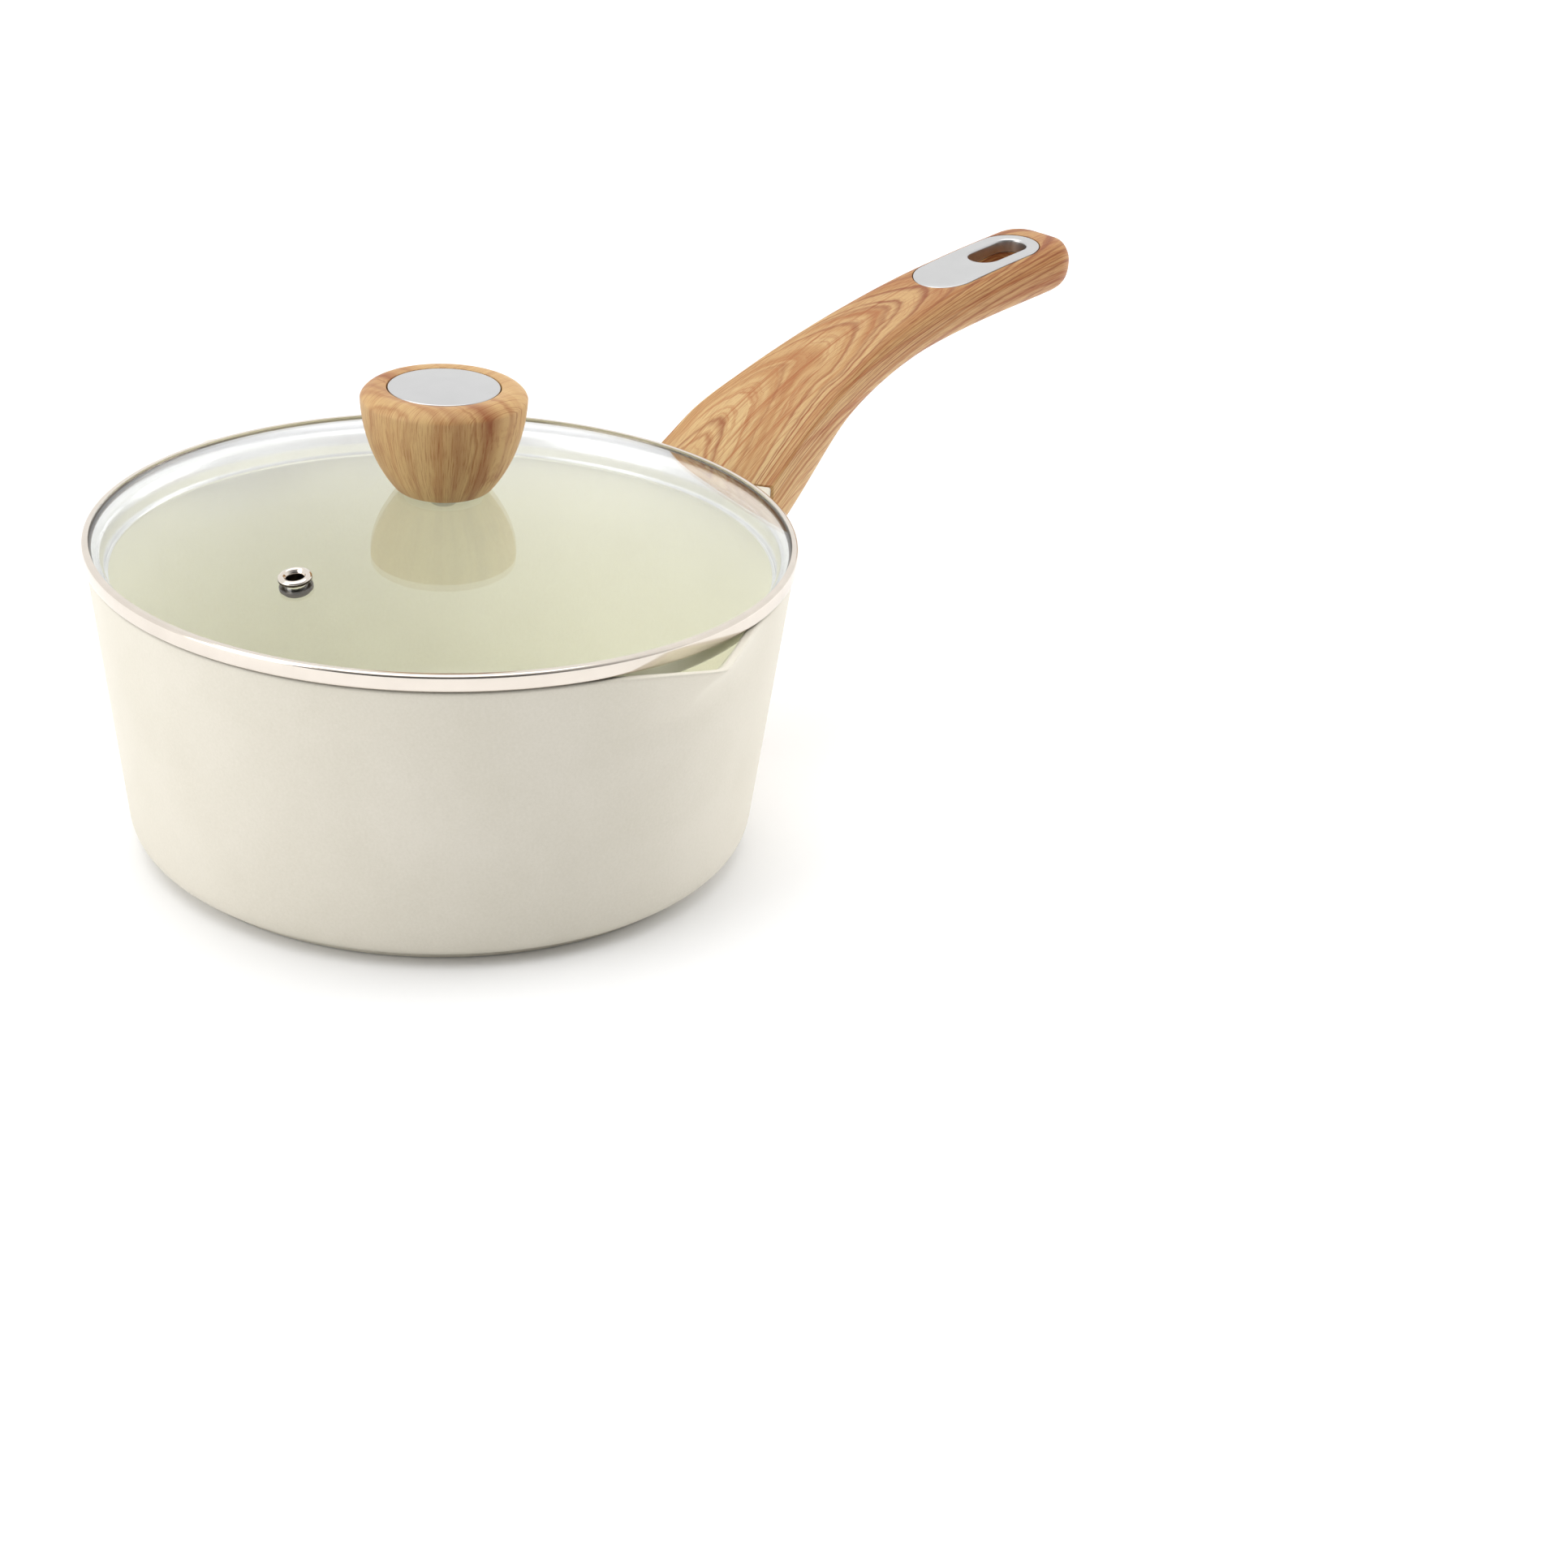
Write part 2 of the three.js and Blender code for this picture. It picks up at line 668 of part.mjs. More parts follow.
function handleScrew() {
  const shank = headTop + TONGUE_DEPTH / 2 - 1;
  const profile = [
    [0, 0],
    [SCREW_HEAD_RADIUS - 1.2, 0],
    [SCREW_HEAD_RADIUS - 0.3, 0.6],
    [SCREW_HEAD_RADIUS, 1.4],
    [SCREW_HEAD_RADIUS, SCREW_HEAD_DEPTH],
    [SCREW_RADIUS, SCREW_HEAD_DEPTH],
    [SCREW_RADIUS, SCREW_HEAD_DEPTH + shank - 1],
    [SCREW_RADIUS - 0.8, SCREW_HEAD_DEPTH + shank],
    [0, SCREW_HEAD_DEPTH + shank],
  ];
  const screw = solidOf(turned(profile, AROUND_SMALL)).subtract(crossRecess(4.4, 1.5));
  return geometryOf(screw).translate(SCREW_ALONG_TONGUE, 0, -headBottom).applyMatrix4(tongueFrame());
}

function handleLockWasher() {
  const washer = turnedRing(
    [
      [SCREW_RADIUS + GAP, -washerBottom],
      [SCREW_HEAD_RADIUS, -washerBottom],
      [SCREW_HEAD_RADIUS, -washerTop],
      [SCREW_RADIUS + GAP, -washerTop],
    ],
    AROUND_SMALL,
  );
  return washer.translate(SCREW_ALONG_TONGUE, 0, 0).applyMatrix4(tongueFrame());
}

// ---------------------------------------------------------------- lid

// Upper lip over the glass, outer band, flange under the glass, skirt inside the pot and its hem.
function lidRing() {
  const half = SHEET / 2;
  const outer = RING_RADIUS - half;
  const top = RING_TOP - half;
  const bottom = RING_BOTTOM + half;
  const bend = 0.6;
  const path = [
    [outer - 1.4, top],
    ...arc(outer - bend, top - bend, bend, 90, 0, 2),
    ...arc(outer - bend, bottom + bend, bend, 0, -90, 1),
    [100.4, bottom],
    [98.6, bottom - 0.9],
    [SKIRT_RADIUS, bottom - 3.6],
    ...arc(SKIRT_RADIUS - HEM_RADIUS, SKIRT_BOTTOM + half + HEM_RADIUS, HEM_RADIUS, 0, -180, 3),
  ];
  return turnedRing(strip(path, SHEET), AROUND_LID);
}

const domeRise = GLASS_TOP_Z - GLASS_EDGE_Z;
const domeRadius = (GLASS_RADIUS ** 2 + domeRise ** 2) / (2 * domeRise);
const domeCentreZ = GLASS_TOP_Z - domeRadius;

function domeZ(radius, depth) {
  return domeCentreZ + Math.sqrt((domeRadius - depth) ** 2 - radius ** 2);
}

// Frame of the vent: on the dome's upper surface, Z along the dome's normal.
function ventFrame() {
  const place = new THREE.Vector3(
    VENT_DISTANCE * Math.cos(VENT_ANGLE),
    VENT_DISTANCE * Math.sin(VENT_ANGLE),
    domeZ(VENT_DISTANCE, 0),
  );
  const normal = place.clone().sub(new THREE.Vector3(0, 0, domeCentreZ)).normalize();
  const turn = new THREE.Quaternion().setFromUnitVectors(new THREE.Vector3(0, 0, 1), normal);
  return new THREE.Matrix4().compose(place, turn, new THREE.Vector3(1, 1, 1));
}

function lidGlass() {
  const radii = [0, 0.2, 0.4, 0.6, 0.8, 1].map(
    (part) => GLASS_HOLE_RADIUS + (GLASS_RADIUS - GLASS_HOLE_RADIUS) * part,
  );
  const under = radii.map((radius) => [radius, domeZ(radius, GLASS_THICKNESS)]);
  const over = radii.map((radius) => [radius, domeZ(radius, 0)]).reverse();
  const dome = solidOf(turnedRing([...under, ...over], AROUND_LID));
  const hole = uprightCylinder(VENT_GLASS_HOLE, -9, 6, AROUND_SMALL).applyMatrix4(ventFrame());
  return dome.subtract(solidOf(hole));
}

function ventEyelet() {
  const under = -GLASS_THICKNESS - GAP - VENT_WASHER_DEPTH - GAP;
  return turnedRing(
    [
      [VENT_BORE, under - 0.4],
      [VENT_BORE + 0.9, under - 0.7],
      [VENT_BARREL + 1, under - 0.3],
      [VENT_BARREL + 1, under],
      [VENT_BARREL, under],
      [VENT_BARREL, GAP],
      [VENT_RADIUS, GAP],
      [VENT_RADIUS, GAP + 0.6],
      [VENT_RADIUS - 0.5, GAP + 1.2],
      [VENT_RADIUS - 1.3, GAP + 1.4],
      [VENT_BORE + 0.3, GAP + 1],
      [VENT_BORE, GAP + 0.6],
    ],
    AROUND_SMALL,
  ).applyMatrix4(ventFrame());
}

function ventWasher() {
  const top = -GLASS_THICKNESS - GAP;
  return turnedRing(
    [
      [VENT_BARREL + GAP, top - VENT_WASHER_DEPTH],
      [VENT_RADIUS - 0.3, top - VENT_WASHER_DEPTH],
      [VENT_RADIUS, top - 0.7],
      [VENT_RADIUS, top],
      [VENT_BARREL + GAP, top],
    ],
    AROUND_SMALL,
  ).applyMatrix4(ventFrame());
}

// ---------------------------------------------------------------- knob

function knobBody() {
  const bore = INSERT_RADIUS + GAP;
  const boreEnd = INSERT_LENGTH + 2 * GAP;
  const seat = KNOB_HEIGHT - CAP_SINK - CAP_THICKNESS - GAP;
  const side = new THREE.CubicBezierCurve(
    new THREE.Vector2(KNOB_FOOT_RADIUS, 0.6),
    new THREE.Vector2(19.9, 7.2),
    new THREE.Vector2(23.7, 17),
    new THREE.Vector2(KNOB_RADIUS, KNOB_CREASE),
  );
  const shoulder = new THREE.CubicBezierCurve(
    new THREE.Vector2(KNOB_RADIUS, KNOB_CREASE),
    new THREE.Vector2(KNOB_RADIUS - 0.1, KNOB_CREASE + 1.3),
    new THREE.Vector2(KNOB_TOP_RADIUS + 2.2, KNOB_HEIGHT - 0.3),
    new THREE.Vector2(KNOB_TOP_RADIUS, KNOB_HEIGHT),
  );
  const outline = [
    [0, boreEnd],
    [bore, boreEnd],
    [bore, GASKET_POCKET],
    [UPPER_GASKET_RADIUS + GAP, GASKET_POCKET],
    [UPPER_GASKET_RADIUS + GAP, 0],
    [KNOB_FOOT_RADIUS - 0.8, 0],
    ...side.getPoints(6).map((point) => [point.x, point.y]),
    ...shoulder.getPoints(4).slice(1).map((point) => [point.x, point.y]),
    [CAP_RADIUS + GAP, KNOB_HEIGHT - CAP_SINK],
    [CAP_RADIUS + GAP, seat],
    [0, seat],
  ];
  return turned(outline, AROUND_KNOB).translate(0, 0, KNOB_FOOT_Z);
}

function knobCapDisc() {
  const top = KNOB_HEIGHT - CAP_SINK;
  const outline = [
    [0, top - CAP_THICKNESS],
    [CAP_RADIUS, top - CAP_THICKNESS],
    [CAP_RADIUS, top - 0.3],
    [CAP_RADIUS - 0.3, top],
    [0, top + 0.3],
  ];
  return turned(outline, AROUND_KNOB).translate(0, 0, KNOB_FOOT_Z);
}

function knobInsert() {
  const wall = KNOB_SCREW_RADIUS + GAP;
  const groove = INSERT_RADIUS - 0.7;
  const low = GASKET_POCKET + GAP;
  const outline = [
    [0, INSERT_LENGTH - 1.5],
    [wall, INSERT_LENGTH - 1.5],
    [wall, low],
    [INSERT_RADIUS, low],
    [INSERT_RADIUS, 5],
    [groove, 5.5],
    [groove, 7.5],
    [INSERT_RADIUS, 8],
    [INSERT_RADIUS, INSERT_LENGTH],
    [0, INSERT_LENGTH],
  ];
  return turned(outline, AROUND_SMALL).translate(0, 0, KNOB_FOOT_Z);
}

const lowerGasketTop = GLASS_TOP_Z - GLASS_THICKNESS - GAP;
const lowerGasketBottom = lowerGasketTop - GASKET_THICKNESS;
const knobWasherTop = lowerGasketBottom - GAP;
const knobWasherBottom = knobWasherTop - KNOB_WASHER_DEPTH;
const knobHeadTop = knobWasherBottom - GAP;

function flatRing(inner, outer, low, high) {
  const outline = [
    [inner, low],
    [outer, low],
    [outer, high],
    [inner, high],
  ];
  return turnedRing(outline, AROUND_KNOB);
}

function knobScrew() {
  const radius = KNOB_SCREW_RADIUS;
  const low = knobHeadTop - KNOB_HEAD_DEPTH;
  const end = KNOB_FOOT_Z + INSERT_LENGTH - 4;
  const outline = [
    [0, low],
    [KNOB_HEAD_RADIUS - 1.4, low],
    [KNOB_HEAD_RADIUS - 0.3, low + 0.6],
    [KNOB_HEAD_RADIUS, knobHeadTop - 0.6],
    [KNOB_HEAD_RADIUS, knobHeadTop],
    [radius, knobHeadTop],
    [radius, end - 1],
    [radius - 0.8, end],
    [0, end],
  ];
  const recess = geometryOf(crossRecess(4.2, 1.1)).translate(0, 0, low);
  return solidOf(turned(outline, AROUND_SMALL)).subtract(solidOf(recess));
}

// ---------------------------------------------------------------- assembly

const saucepan = new THREE.Group();

function addPart(name, shape, look) {
  const geometry = shape.isBufferGeometry ? shape : geometryOf(shape);
  const mesh = new THREE.Mesh(geometry, look);
  mesh.name = name;
  saucepan.add(mesh);
}

addPart("pot_body", potBody(), creamCoating);
addPart("induction_disc", inductionDisc(), castSteel);
addPart("handle_body", handleBody(), woodFilm);
addPart("handle_screw", handleScrew(), zincSteel);
addPart("handle_lock_washer", handleLockWasher(), zincSteel);
addPart("hanger_plate", hangerPlate(), satinSteel);
addPart("lid_rim_ring", lidRing(), polishedSteel);
addPart("lid_glass", lidGlass(), clearGlass);
addPart("vent_eyelet", ventEyelet(), polishedSteel);
addPart("vent_washer", ventWasher(), polishedSteel);
addPart("knob_body", knobBody(), woodFilm);
addPart("knob_cap_disc", knobCapDisc(), satinSteel);
addPart("knob_insert", knobInsert(), brass);
const upperGasket = flatRing(GASKET_BORE, UPPER_GASKET_RADIUS, KNOB_FOOT_Z, KNOB_FOOT_Z + GASKET_THICKNESS);
const lowerGasket = flatRing(GASKET_BORE, LOWER_GASKET_RADIUS, lowerGasketBottom, lowerGasketTop);
const knobWasher = flatRing(KNOB_WASHER_BORE, KNOB_WASHER_RADIUS, knobWasherBottom, knobWasherTop);
addPart("knob_upper_gasket", upperGasket, clearSilicone);
addPart("knob_lower_gasket", lowerGasket, clearSilicone);
addPart("knob_washer", knobWasher, zincSteel);
addPart("knob_screw", knobScrew(), zincSteel);

export default saucepan;
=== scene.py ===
import math

import bpy
from mathutils import Matrix, Vector


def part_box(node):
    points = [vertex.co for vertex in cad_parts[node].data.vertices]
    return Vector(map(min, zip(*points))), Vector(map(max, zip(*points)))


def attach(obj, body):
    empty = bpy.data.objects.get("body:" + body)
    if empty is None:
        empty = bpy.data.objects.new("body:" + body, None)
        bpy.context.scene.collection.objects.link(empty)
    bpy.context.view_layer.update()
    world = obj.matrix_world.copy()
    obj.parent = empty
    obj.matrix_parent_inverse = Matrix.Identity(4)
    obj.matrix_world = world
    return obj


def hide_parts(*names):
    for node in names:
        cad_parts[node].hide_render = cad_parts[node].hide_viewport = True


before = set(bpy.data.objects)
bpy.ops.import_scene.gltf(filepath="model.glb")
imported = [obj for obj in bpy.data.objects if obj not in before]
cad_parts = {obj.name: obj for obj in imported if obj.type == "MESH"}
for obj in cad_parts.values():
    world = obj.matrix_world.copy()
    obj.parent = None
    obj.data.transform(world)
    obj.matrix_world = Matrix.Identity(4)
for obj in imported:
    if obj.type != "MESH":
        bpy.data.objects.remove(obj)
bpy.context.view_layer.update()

MM = 0.001


def node_box(name):
    """Lowest and highest corner of a CAD node, in millimetres."""
    low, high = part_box(name)
    return low / MM, high / MM


# ------------------------------------------------------------------ camera

CAMERA_PLACE = Vector((-0.6038, -0.7069, 0.4634))
CAMERA_RIGHT = Vector((0.69923, -0.71334, 0.04727))
CAMERA_UP = Vector((0.27992, 0.33402, 0.90005))
CAMERA_LENS = 77.97

camera_data = bpy.data.cameras.new("camera")
camera_data.sensor_width = 36
camera_data.lens = CAMERA_LENS
camera_data.clip_start = 0.05
camera_data.clip_end = 60
camera = bpy.data.objects.new("camera", camera_data)
bpy.context.scene.collection.objects.link(camera)
bpy.context.scene.camera = camera
camera_back = CAMERA_RIGHT.cross(CAMERA_UP)
turn = Matrix((CAMERA_RIGHT, CAMERA_UP, camera_back)).transposed().to_4x4()
camera.matrix_world = Matrix.Translation(CAMERA_PLACE) @ turn


# ------------------------------------------------------------------ mesh helpers

def new_piece(name, points, faces):
    mesh = bpy.data.meshes.new(name)
    mesh.from_pydata([Vector(p) * MM for p in points], [], faces)
    mesh.validate()
    piece = bpy.data.objects.new(name, mesh)
    bpy.context.scene.collection.objects.link(piece)
    return piece


def smooth(piece, angle=32):
    mesh = piece.data
    mesh.polygons.foreach_set("use_smooth", [True] * len(mesh.polygons))
    mesh.set_sharp_from_angle(angle=math.radians(angle))
    return piece


def skin(name, rows, ring=False):
    """Closed skin over equal loops of points. The ends are capped unless the loops form a ring."""
    count = len(rows[0])
    points = [p for row in rows for p in row]
    faces = []
    pairs = len(rows) if ring else len(rows) - 1
    for r in range(pairs):
        for i in range(count):
            j = (i + 1) % count
            here = r * count
            there = ((r + 1) % len(rows)) * count
            faces.append((here + i, here + j, there + j, there + i))
    if not ring:
        for row, flip in ((0, True), (len(rows) - 1, False)):
            middle = sum((Vector(p) for p in rows[row]), Vector()) / count
            points.append(middle)
            for i in range(count):
                j = (i + 1) % count
                face = (row * count + i, row * count + j, len(points) - 1)
                faces.append(face[::-1] if flip else face)
    return new_piece(name, points, faces)


def turned(name, profile, segments=128, place=None, ring=False):
    """Turns a profile of (radius, z) points, listed anticlockwise, about Z.

    The profile starts and ends on the axis, or is a ring.
    """
    axis_ends = () if ring else (profile[0][1], profile[-1][1])
    rims = profile if ring else [p for p in profile if p[0] > 1e-6]
    rows = []
    for radius, z in rims:
        turns = [2 * math.pi * i / segments for i in range(segments)]
        rows.append([Vector((radius * math.cos(a), radius * math.sin(a), z)) for a in turns])
    piece = skin(name, rows, ring)
    if axis_ends:
        first = len(rows) * segments
        piece.data.vertices[first].co.z = axis_ends[0] * MM
        piece.data.vertices[first + 1].co.z = axis_ends[1] * MM
    if place is not None:
        piece.data.transform(place)
    return piece


def rounded(points, radius, steps=4, closed=False):
    """The same outline with its corners rounded. Radius is one number, or a number for each point."""
    radii = radius if isinstance(radius, (list, tuple)) else [radius] * len(points)
    result = []
    last = len(points) - 1
    for i, point in enumerate(points):
        if radii[i] == 0 or (not closed and i in (0, last)):
            result.append(tuple(point))
            continue
        here = Vector(point)
        before = Vector(points[i - 1]) - here
        after = Vector(points[(i + 1) % len(points)]) - here
        reach = min(radii[i], before.length * 0.48, after.length * 0.48)
        start = here + before.normalized() * reach
        end = here + after.normalized() * reach
        for k in range(steps + 1):
            t = k / steps
            p = start * (1 - t) ** 2 + here * 2 * t * (1 - t) + end * t ** 2
            result.append((p.x, p.y))
    return result


def arc(cx, cy, radius, start, end, steps):
    angles = [math.radians(start + (end - start) * i / steps) for i in range(steps + 1)]
    return [(cx + radius * math.cos(a), cy + radius * math.sin(a)) for a in angles]


def bezier(p0, p1, p2, p3, steps):
    result = []
    for i in range(steps + 1):
        t = i / steps
        weights = ((1 - t) ** 3, 3 * t * (1 - t) ** 2, 3 * t * t * (1 - t), t ** 3)
        result.append(tuple(sum(w * p[k] for w, p in zip(weights, (p0, p1, p2, p3))) for k in (0, 1)))
    return result


def strip(path, thickness):
    """Outline of a bent sheet, either side of a centre line."""
    left, right = [], []
    for i, point in enumerate(path):
        before = Vector(path[max(0, i - 1)])
        after = Vector(path[min(len(path) - 1, i + 1)])
        along = (after - before).normalized() * (thickness / 2)
        left.append((point[0] - along.y, point[1] + along.x))
        right.append((point[0] + along.y, point[1] - along.x))
    return right + left[::-1]


def cut(target, cutter, operation="DIFFERENCE"):
    modifier = target.modifiers.new("cut", "BOOLEAN")
    modifier.operation = operation
    modifier.solver = "EXACT"
    modifier.object = cutter
    bpy.context.view_layer.update()
    done = target.evaluated_get(bpy.context.evaluated_depsgraph_get())
    mesh = bpy.data.meshes.new_from_object(done)
    target.modifiers.remove(modifier)
    target.data = mesh
    bpy.data.objects.remove(cutter)
    return target


def stadium(start, end, half_width, count):
    """Plan outline with round ends, as count points at even steps round its middle line."""
    a, b = start + half_width, end - half_width
    straight = b - a
    bend = math.pi * half_width
    total = 2 * straight + 2 * bend
    points = []
    for i in range(count):
        d = total * i / count
        if d < straight:
            points.append((a + d, -half_width))
        elif d < straight + bend:
            turned_by = (d - straight) / half_width - math.pi / 2
            points.append((b + half_width * math.cos(turned_by), half_width * math.sin(turned_by)))
        elif d < 2 * straight + bend:
            points.append((b - (d - straight - bend), half_width))
        else:
            turned_by = (d - 2 * straight - bend) / half_width + math.pi / 2
            points.append((a + half_width * math.cos(turned_by), half_width * math.sin(turned_by)))
    return points


def through(stations):
    """A smooth value that passes through a few (x, value) stations."""

    def slope(i):
        x0, v0 = stations[max(0, i - 1)]
        x1, v1 = stations[min(len(stations) - 1, i + 1)]
        return (v1 - v0) / (x1 - x0)

    def value(x):
        i = 0
        while i < len(stations) - 2 and stations[i + 1][0] <= x:
            i += 1
        x0, v0 = stations[i]
        x1, v1 = stations[i + 1]
        run = x1 - x0
        t = min(1, max(0, (x - x0) / run))
        ease = t * t * (3 - 2 * t)
        leave = t * (1 - t) ** 2 * run * slope(i)
        arrive = t * t * (t - 1) * run * slope(i + 1)
        return v0 + (v1 - v0) * ease + leave + arrive

    return value


def mix(a, b, t):
    return a + (b - a) * t


def smoothstep(x, low, high):
    t = min(1, max(0, (x - low) / (high - low)))
    return t * t * (3 - 2 * t)


# ------------------------------------------------------------------ material helpers

class Shader:
    """A material's node tree, with short ways to add nodes."""

    def __init__(self, name):
        self.material = bpy.data.materials.new(name)
        self.material.use_nodes = True
        self.tree = self.material.node_tree
        self.surface = self.tree.nodes["Principled BSDF"]

    def add(self, kind, inputs=None, **settings):
        made = self.tree.nodes.new(kind)
        for key, value in settings.items():
            setattr(made, key, value)
        for key, value in (inputs or {}).items():
            self.put(made, key, value)
        return made

    def put(self, made, key, value):
        if isinstance(value, bpy.types.NodeSocket):
            self.tree.links.new(value, made.inputs[key])
        else:
            made.inputs[key].default_value = value

    def set(self, **inputs):
        for key, value in inputs.items():
            self.put(self.surface, key.replace("_", " "), value)

    def place(self, scale=(1, 1, 1), attribute=None):
        """Object position in millimetres, or a stored grain position, stretched by scale."""
        if attribute:
            source = self.add("ShaderNodeAttribute", attribute_name=attribute).outputs["Vector"]
            factor = scale
        else:
            source = self.add("ShaderNodeTexCoord").outputs["Object"]
            factor = [s / MM for s in scale]
        mapping = self.add("ShaderNodeMapping", {"Vector": source, "Scale": factor})
        return mapping.outputs["Vector"]

    def noise(self, vector, scale, detail=3, roughness=0.55, distortion=0):
        made = self.add("ShaderNodeTexNoise", {"Vector": vector, "Scale": scale, "Detail": detail})
        self.put(made, "Roughness", roughness)
        self.put(made, "Distortion", distortion)
        return made.outputs["Fac"]

    def math(self, operation, a, b=0.0, clamp=False):
        return self.add("ShaderNodeMath", {0: a, 1: b}, operation=operation, use_clamp=clamp).outputs[0]

    def span(self, value, low, high, to_low=0.0, to_high=1.0):
        made = self.add("ShaderNodeMapRange", {"Value": value, "From Min": low, "From Max": high})
        self.put(made, "To Min", to_low)
        self.put(made, "To Max", to_high)
        return made.outputs["Result"]

    def ramp(self, value, stops):
        made = self.add("ShaderNodeValToRGB", {"Fac": value})
        elements = made.color_ramp.elements
        while len(elements) < len(stops):
            elements.new(0.5)
        for element, (position, color) in zip(elements, stops):
            element.position = position
            element.color = (*color, 1)
        return made.outputs["Color"]

    def blend(self, factor, a, b, kind="MIX"):
        made = self.add("ShaderNodeMix", data_type="RGBA", blend_type=kind)
        self.put(made, 0, factor)
        self.put(made, 6, (*a, 1) if isinstance(a, tuple) else a)
        self.put(made, 7, (*b, 1) if isinstance(b, tuple) else b)
        return made.outputs[2]

    def bump(self, height, strength, distance_mm):
        inputs = {"Height": height, "Strength": strength, "Distance": distance_mm * MM}
        made = self.add("ShaderNodeBump", inputs)
        self.put(self.surface, "Normal", made.outputs["Normal"])


def srgb(*values):
    """Linear colour from 0-255 values."""
    return tuple((v / 255 / 12.92) if v < 11 else ((v / 255 + 0.055) / 1.055) ** 2.4 for v in values)


def coating(name, color, speckle, roughness, bump_height):
    s = Shader(name)
    place = s.place()
    broad = s.noise(place, 0.03, 3)
    fine = s.noise(place, 1.3, 4, 0.6)
    tone = s.math("ADD", s.math("MULTIPLY", broad, 0.5), s.math("MULTIPLY", fine, 0.5))
    s.set(Base_Color=s.ramp(tone, [(0.3, speckle), (0.62, color)]))
    s.set(Roughness=s.span(fine, 0.3, 0.7, roughness - 0.05, roughness + 0.06))
    pebble = s.noise(place, 1.1, 2, 0.5)
    s.bump(s.math("ADD", pebble, s.math("MULTIPLY", fine, 0.4)), 0.35, bump_height)
    return s.material


def marks_ramp(s, field, low, high, marks):
    """Darkness of the strong grain lines: each (place, width, strength) fades in slowly and stops sharply."""
    stops = [(0.0, (0, 0, 0))]
    for place, width, strength in marks:
        for shift, share in ((-0.7, 0.0), (0.0, 1.0), (0.35, 0.0)):
            position = (place + shift * width - low) / (high - low)
            stops.append((position, (strength * share,) * 3))
    return s.ramp(s.span(field, low, high), stops)


def wood(name, mark_sets, wander, calm, warm):
    """Printed wood film.

    The stored grain holds the place along the grain, the ring field and the place across, in cm.
    """
    s = Shader(name)
    place = s.place(attribute="grain")
    parts = s.add("ShaderNodeSeparateXYZ", {"Vector": place}).outputs
    along, ring, across = parts[0], parts[1], parts[2]
    flat = s.add("ShaderNodeCombineXYZ", {0: along, 1: across, 2: 0.0}).outputs[0]

    def stretched(x, y, scale, detail, roughness):
        spread = s.add("ShaderNodeMapping", {"Vector": flat, "Scale": (x, y, 1)}).outputs[0]
        return s.noise(spread, scale, detail, roughness)

    broad = stretched(0.5, 1.0, 1.0, 2, 0.45)
    jag = stretched(1.0, 3.4, 1.6, 2, 0.5)
    sway = s.span(broad, 0, 1, -wander, wander)
    jitter = s.span(jag, 0, 1, -0.5 * wander, 0.5 * wander)
    field = s.math("ADD", ring, s.math("ADD", sway, jitter))
    follow = s.add("ShaderNodeCombineXYZ", {0: field, 1: s.math("MULTIPLY", along, 0.06), 2: 0.0}).outputs[0]
    coarse = s.noise(follow, 0.62, 2, 0.55)
    lines = s.noise(follow, 3.0, 3, 0.62)
    long_lines = stretched(0.1, 4.2, 1.0, 3, 0.6)
    fibre = stretched(0.9, 26.0, 1.4, 4, 0.65)
    patch = stretched(0.35, 0.9, 1.2, 2, 0.5)
    mark = 0.0
    for low, high, marks in mark_sets:
        mark = s.math("MAXIMUM", marks_ramp(s, s.math("MULTIPLY", field, 10.0), low, high, marks), mark)
    tone = s.span(coarse, 0.0, 1.0, 0.5 * calm, 1.0 - 0.5 * calm)
    base = s.ramp(tone, [(0.33, WOOD_MID), (0.43, WOOD_TAN), (0.53, WOOD_LIGHT)])
    base = s.blend(s.span(lines, 0.5, 0.66, 0.0, 0.65 * (1 - calm)), base, WOOD_LINE)
    base = s.blend(s.span(long_lines, 0.53, 0.66, 0.0, 0.75 * (1 - calm)), base, WOOD_LINE)
    base = s.blend(s.math("MULTIPLY", mark, s.span(patch, 0.3, 0.55, 0.55, 1.0)), base, WOOD_DARK)
    base = s.blend(s.span(fibre, 0.5, 0.64, 0.0, 0.55), base, WOOD_DARK)
    base = s.blend(s.span(fibre, 0.3, 0.44, 0.3, 0.0), base, WOOD_LIGHT)
    base = s.blend(s.span(along, *warm), base, WOOD_WARM, "MULTIPLY")
    s.set(Base_Color=base)
    s.set(Roughness=s.span(fibre, 0.3, 0.7, 0.42, 0.54))
    s.put(s.surface, "Specular IOR Level", 0.3)
    s.bump(s.math("SUBTRACT", fibre, mark), 0.2, 0.04)
    return s.material


def metal(name, color, dull, roughness, around=False, grain=0.02):
    """Bare metal with fine turning or rolling lines and faint smudges."""
    s = Shader(name)
    place = s.place()
    lines_place = s.place((0.05, 0.05, 6.0) if around else (0.25, 4.0, 4.0))
    lines = s.noise(lines_place, 2.0, 3, 0.6)
    smudge = s.noise(place, 0.09, 3, 0.6)
    s.set(Base_Color=s.ramp(smudge, [(0.3, dull), (0.7, color)]))
    s.set(Metallic=1.0)
    rough = s.math("ADD", s.math("MULTIPLY", lines, 0.08), s.math("MULTIPLY", smudge, 0.06))
    s.set(Roughness=s.math("ADD", rough, roughness - 0.07))
    s.bump(lines, 0.2, grain)
    return s.material


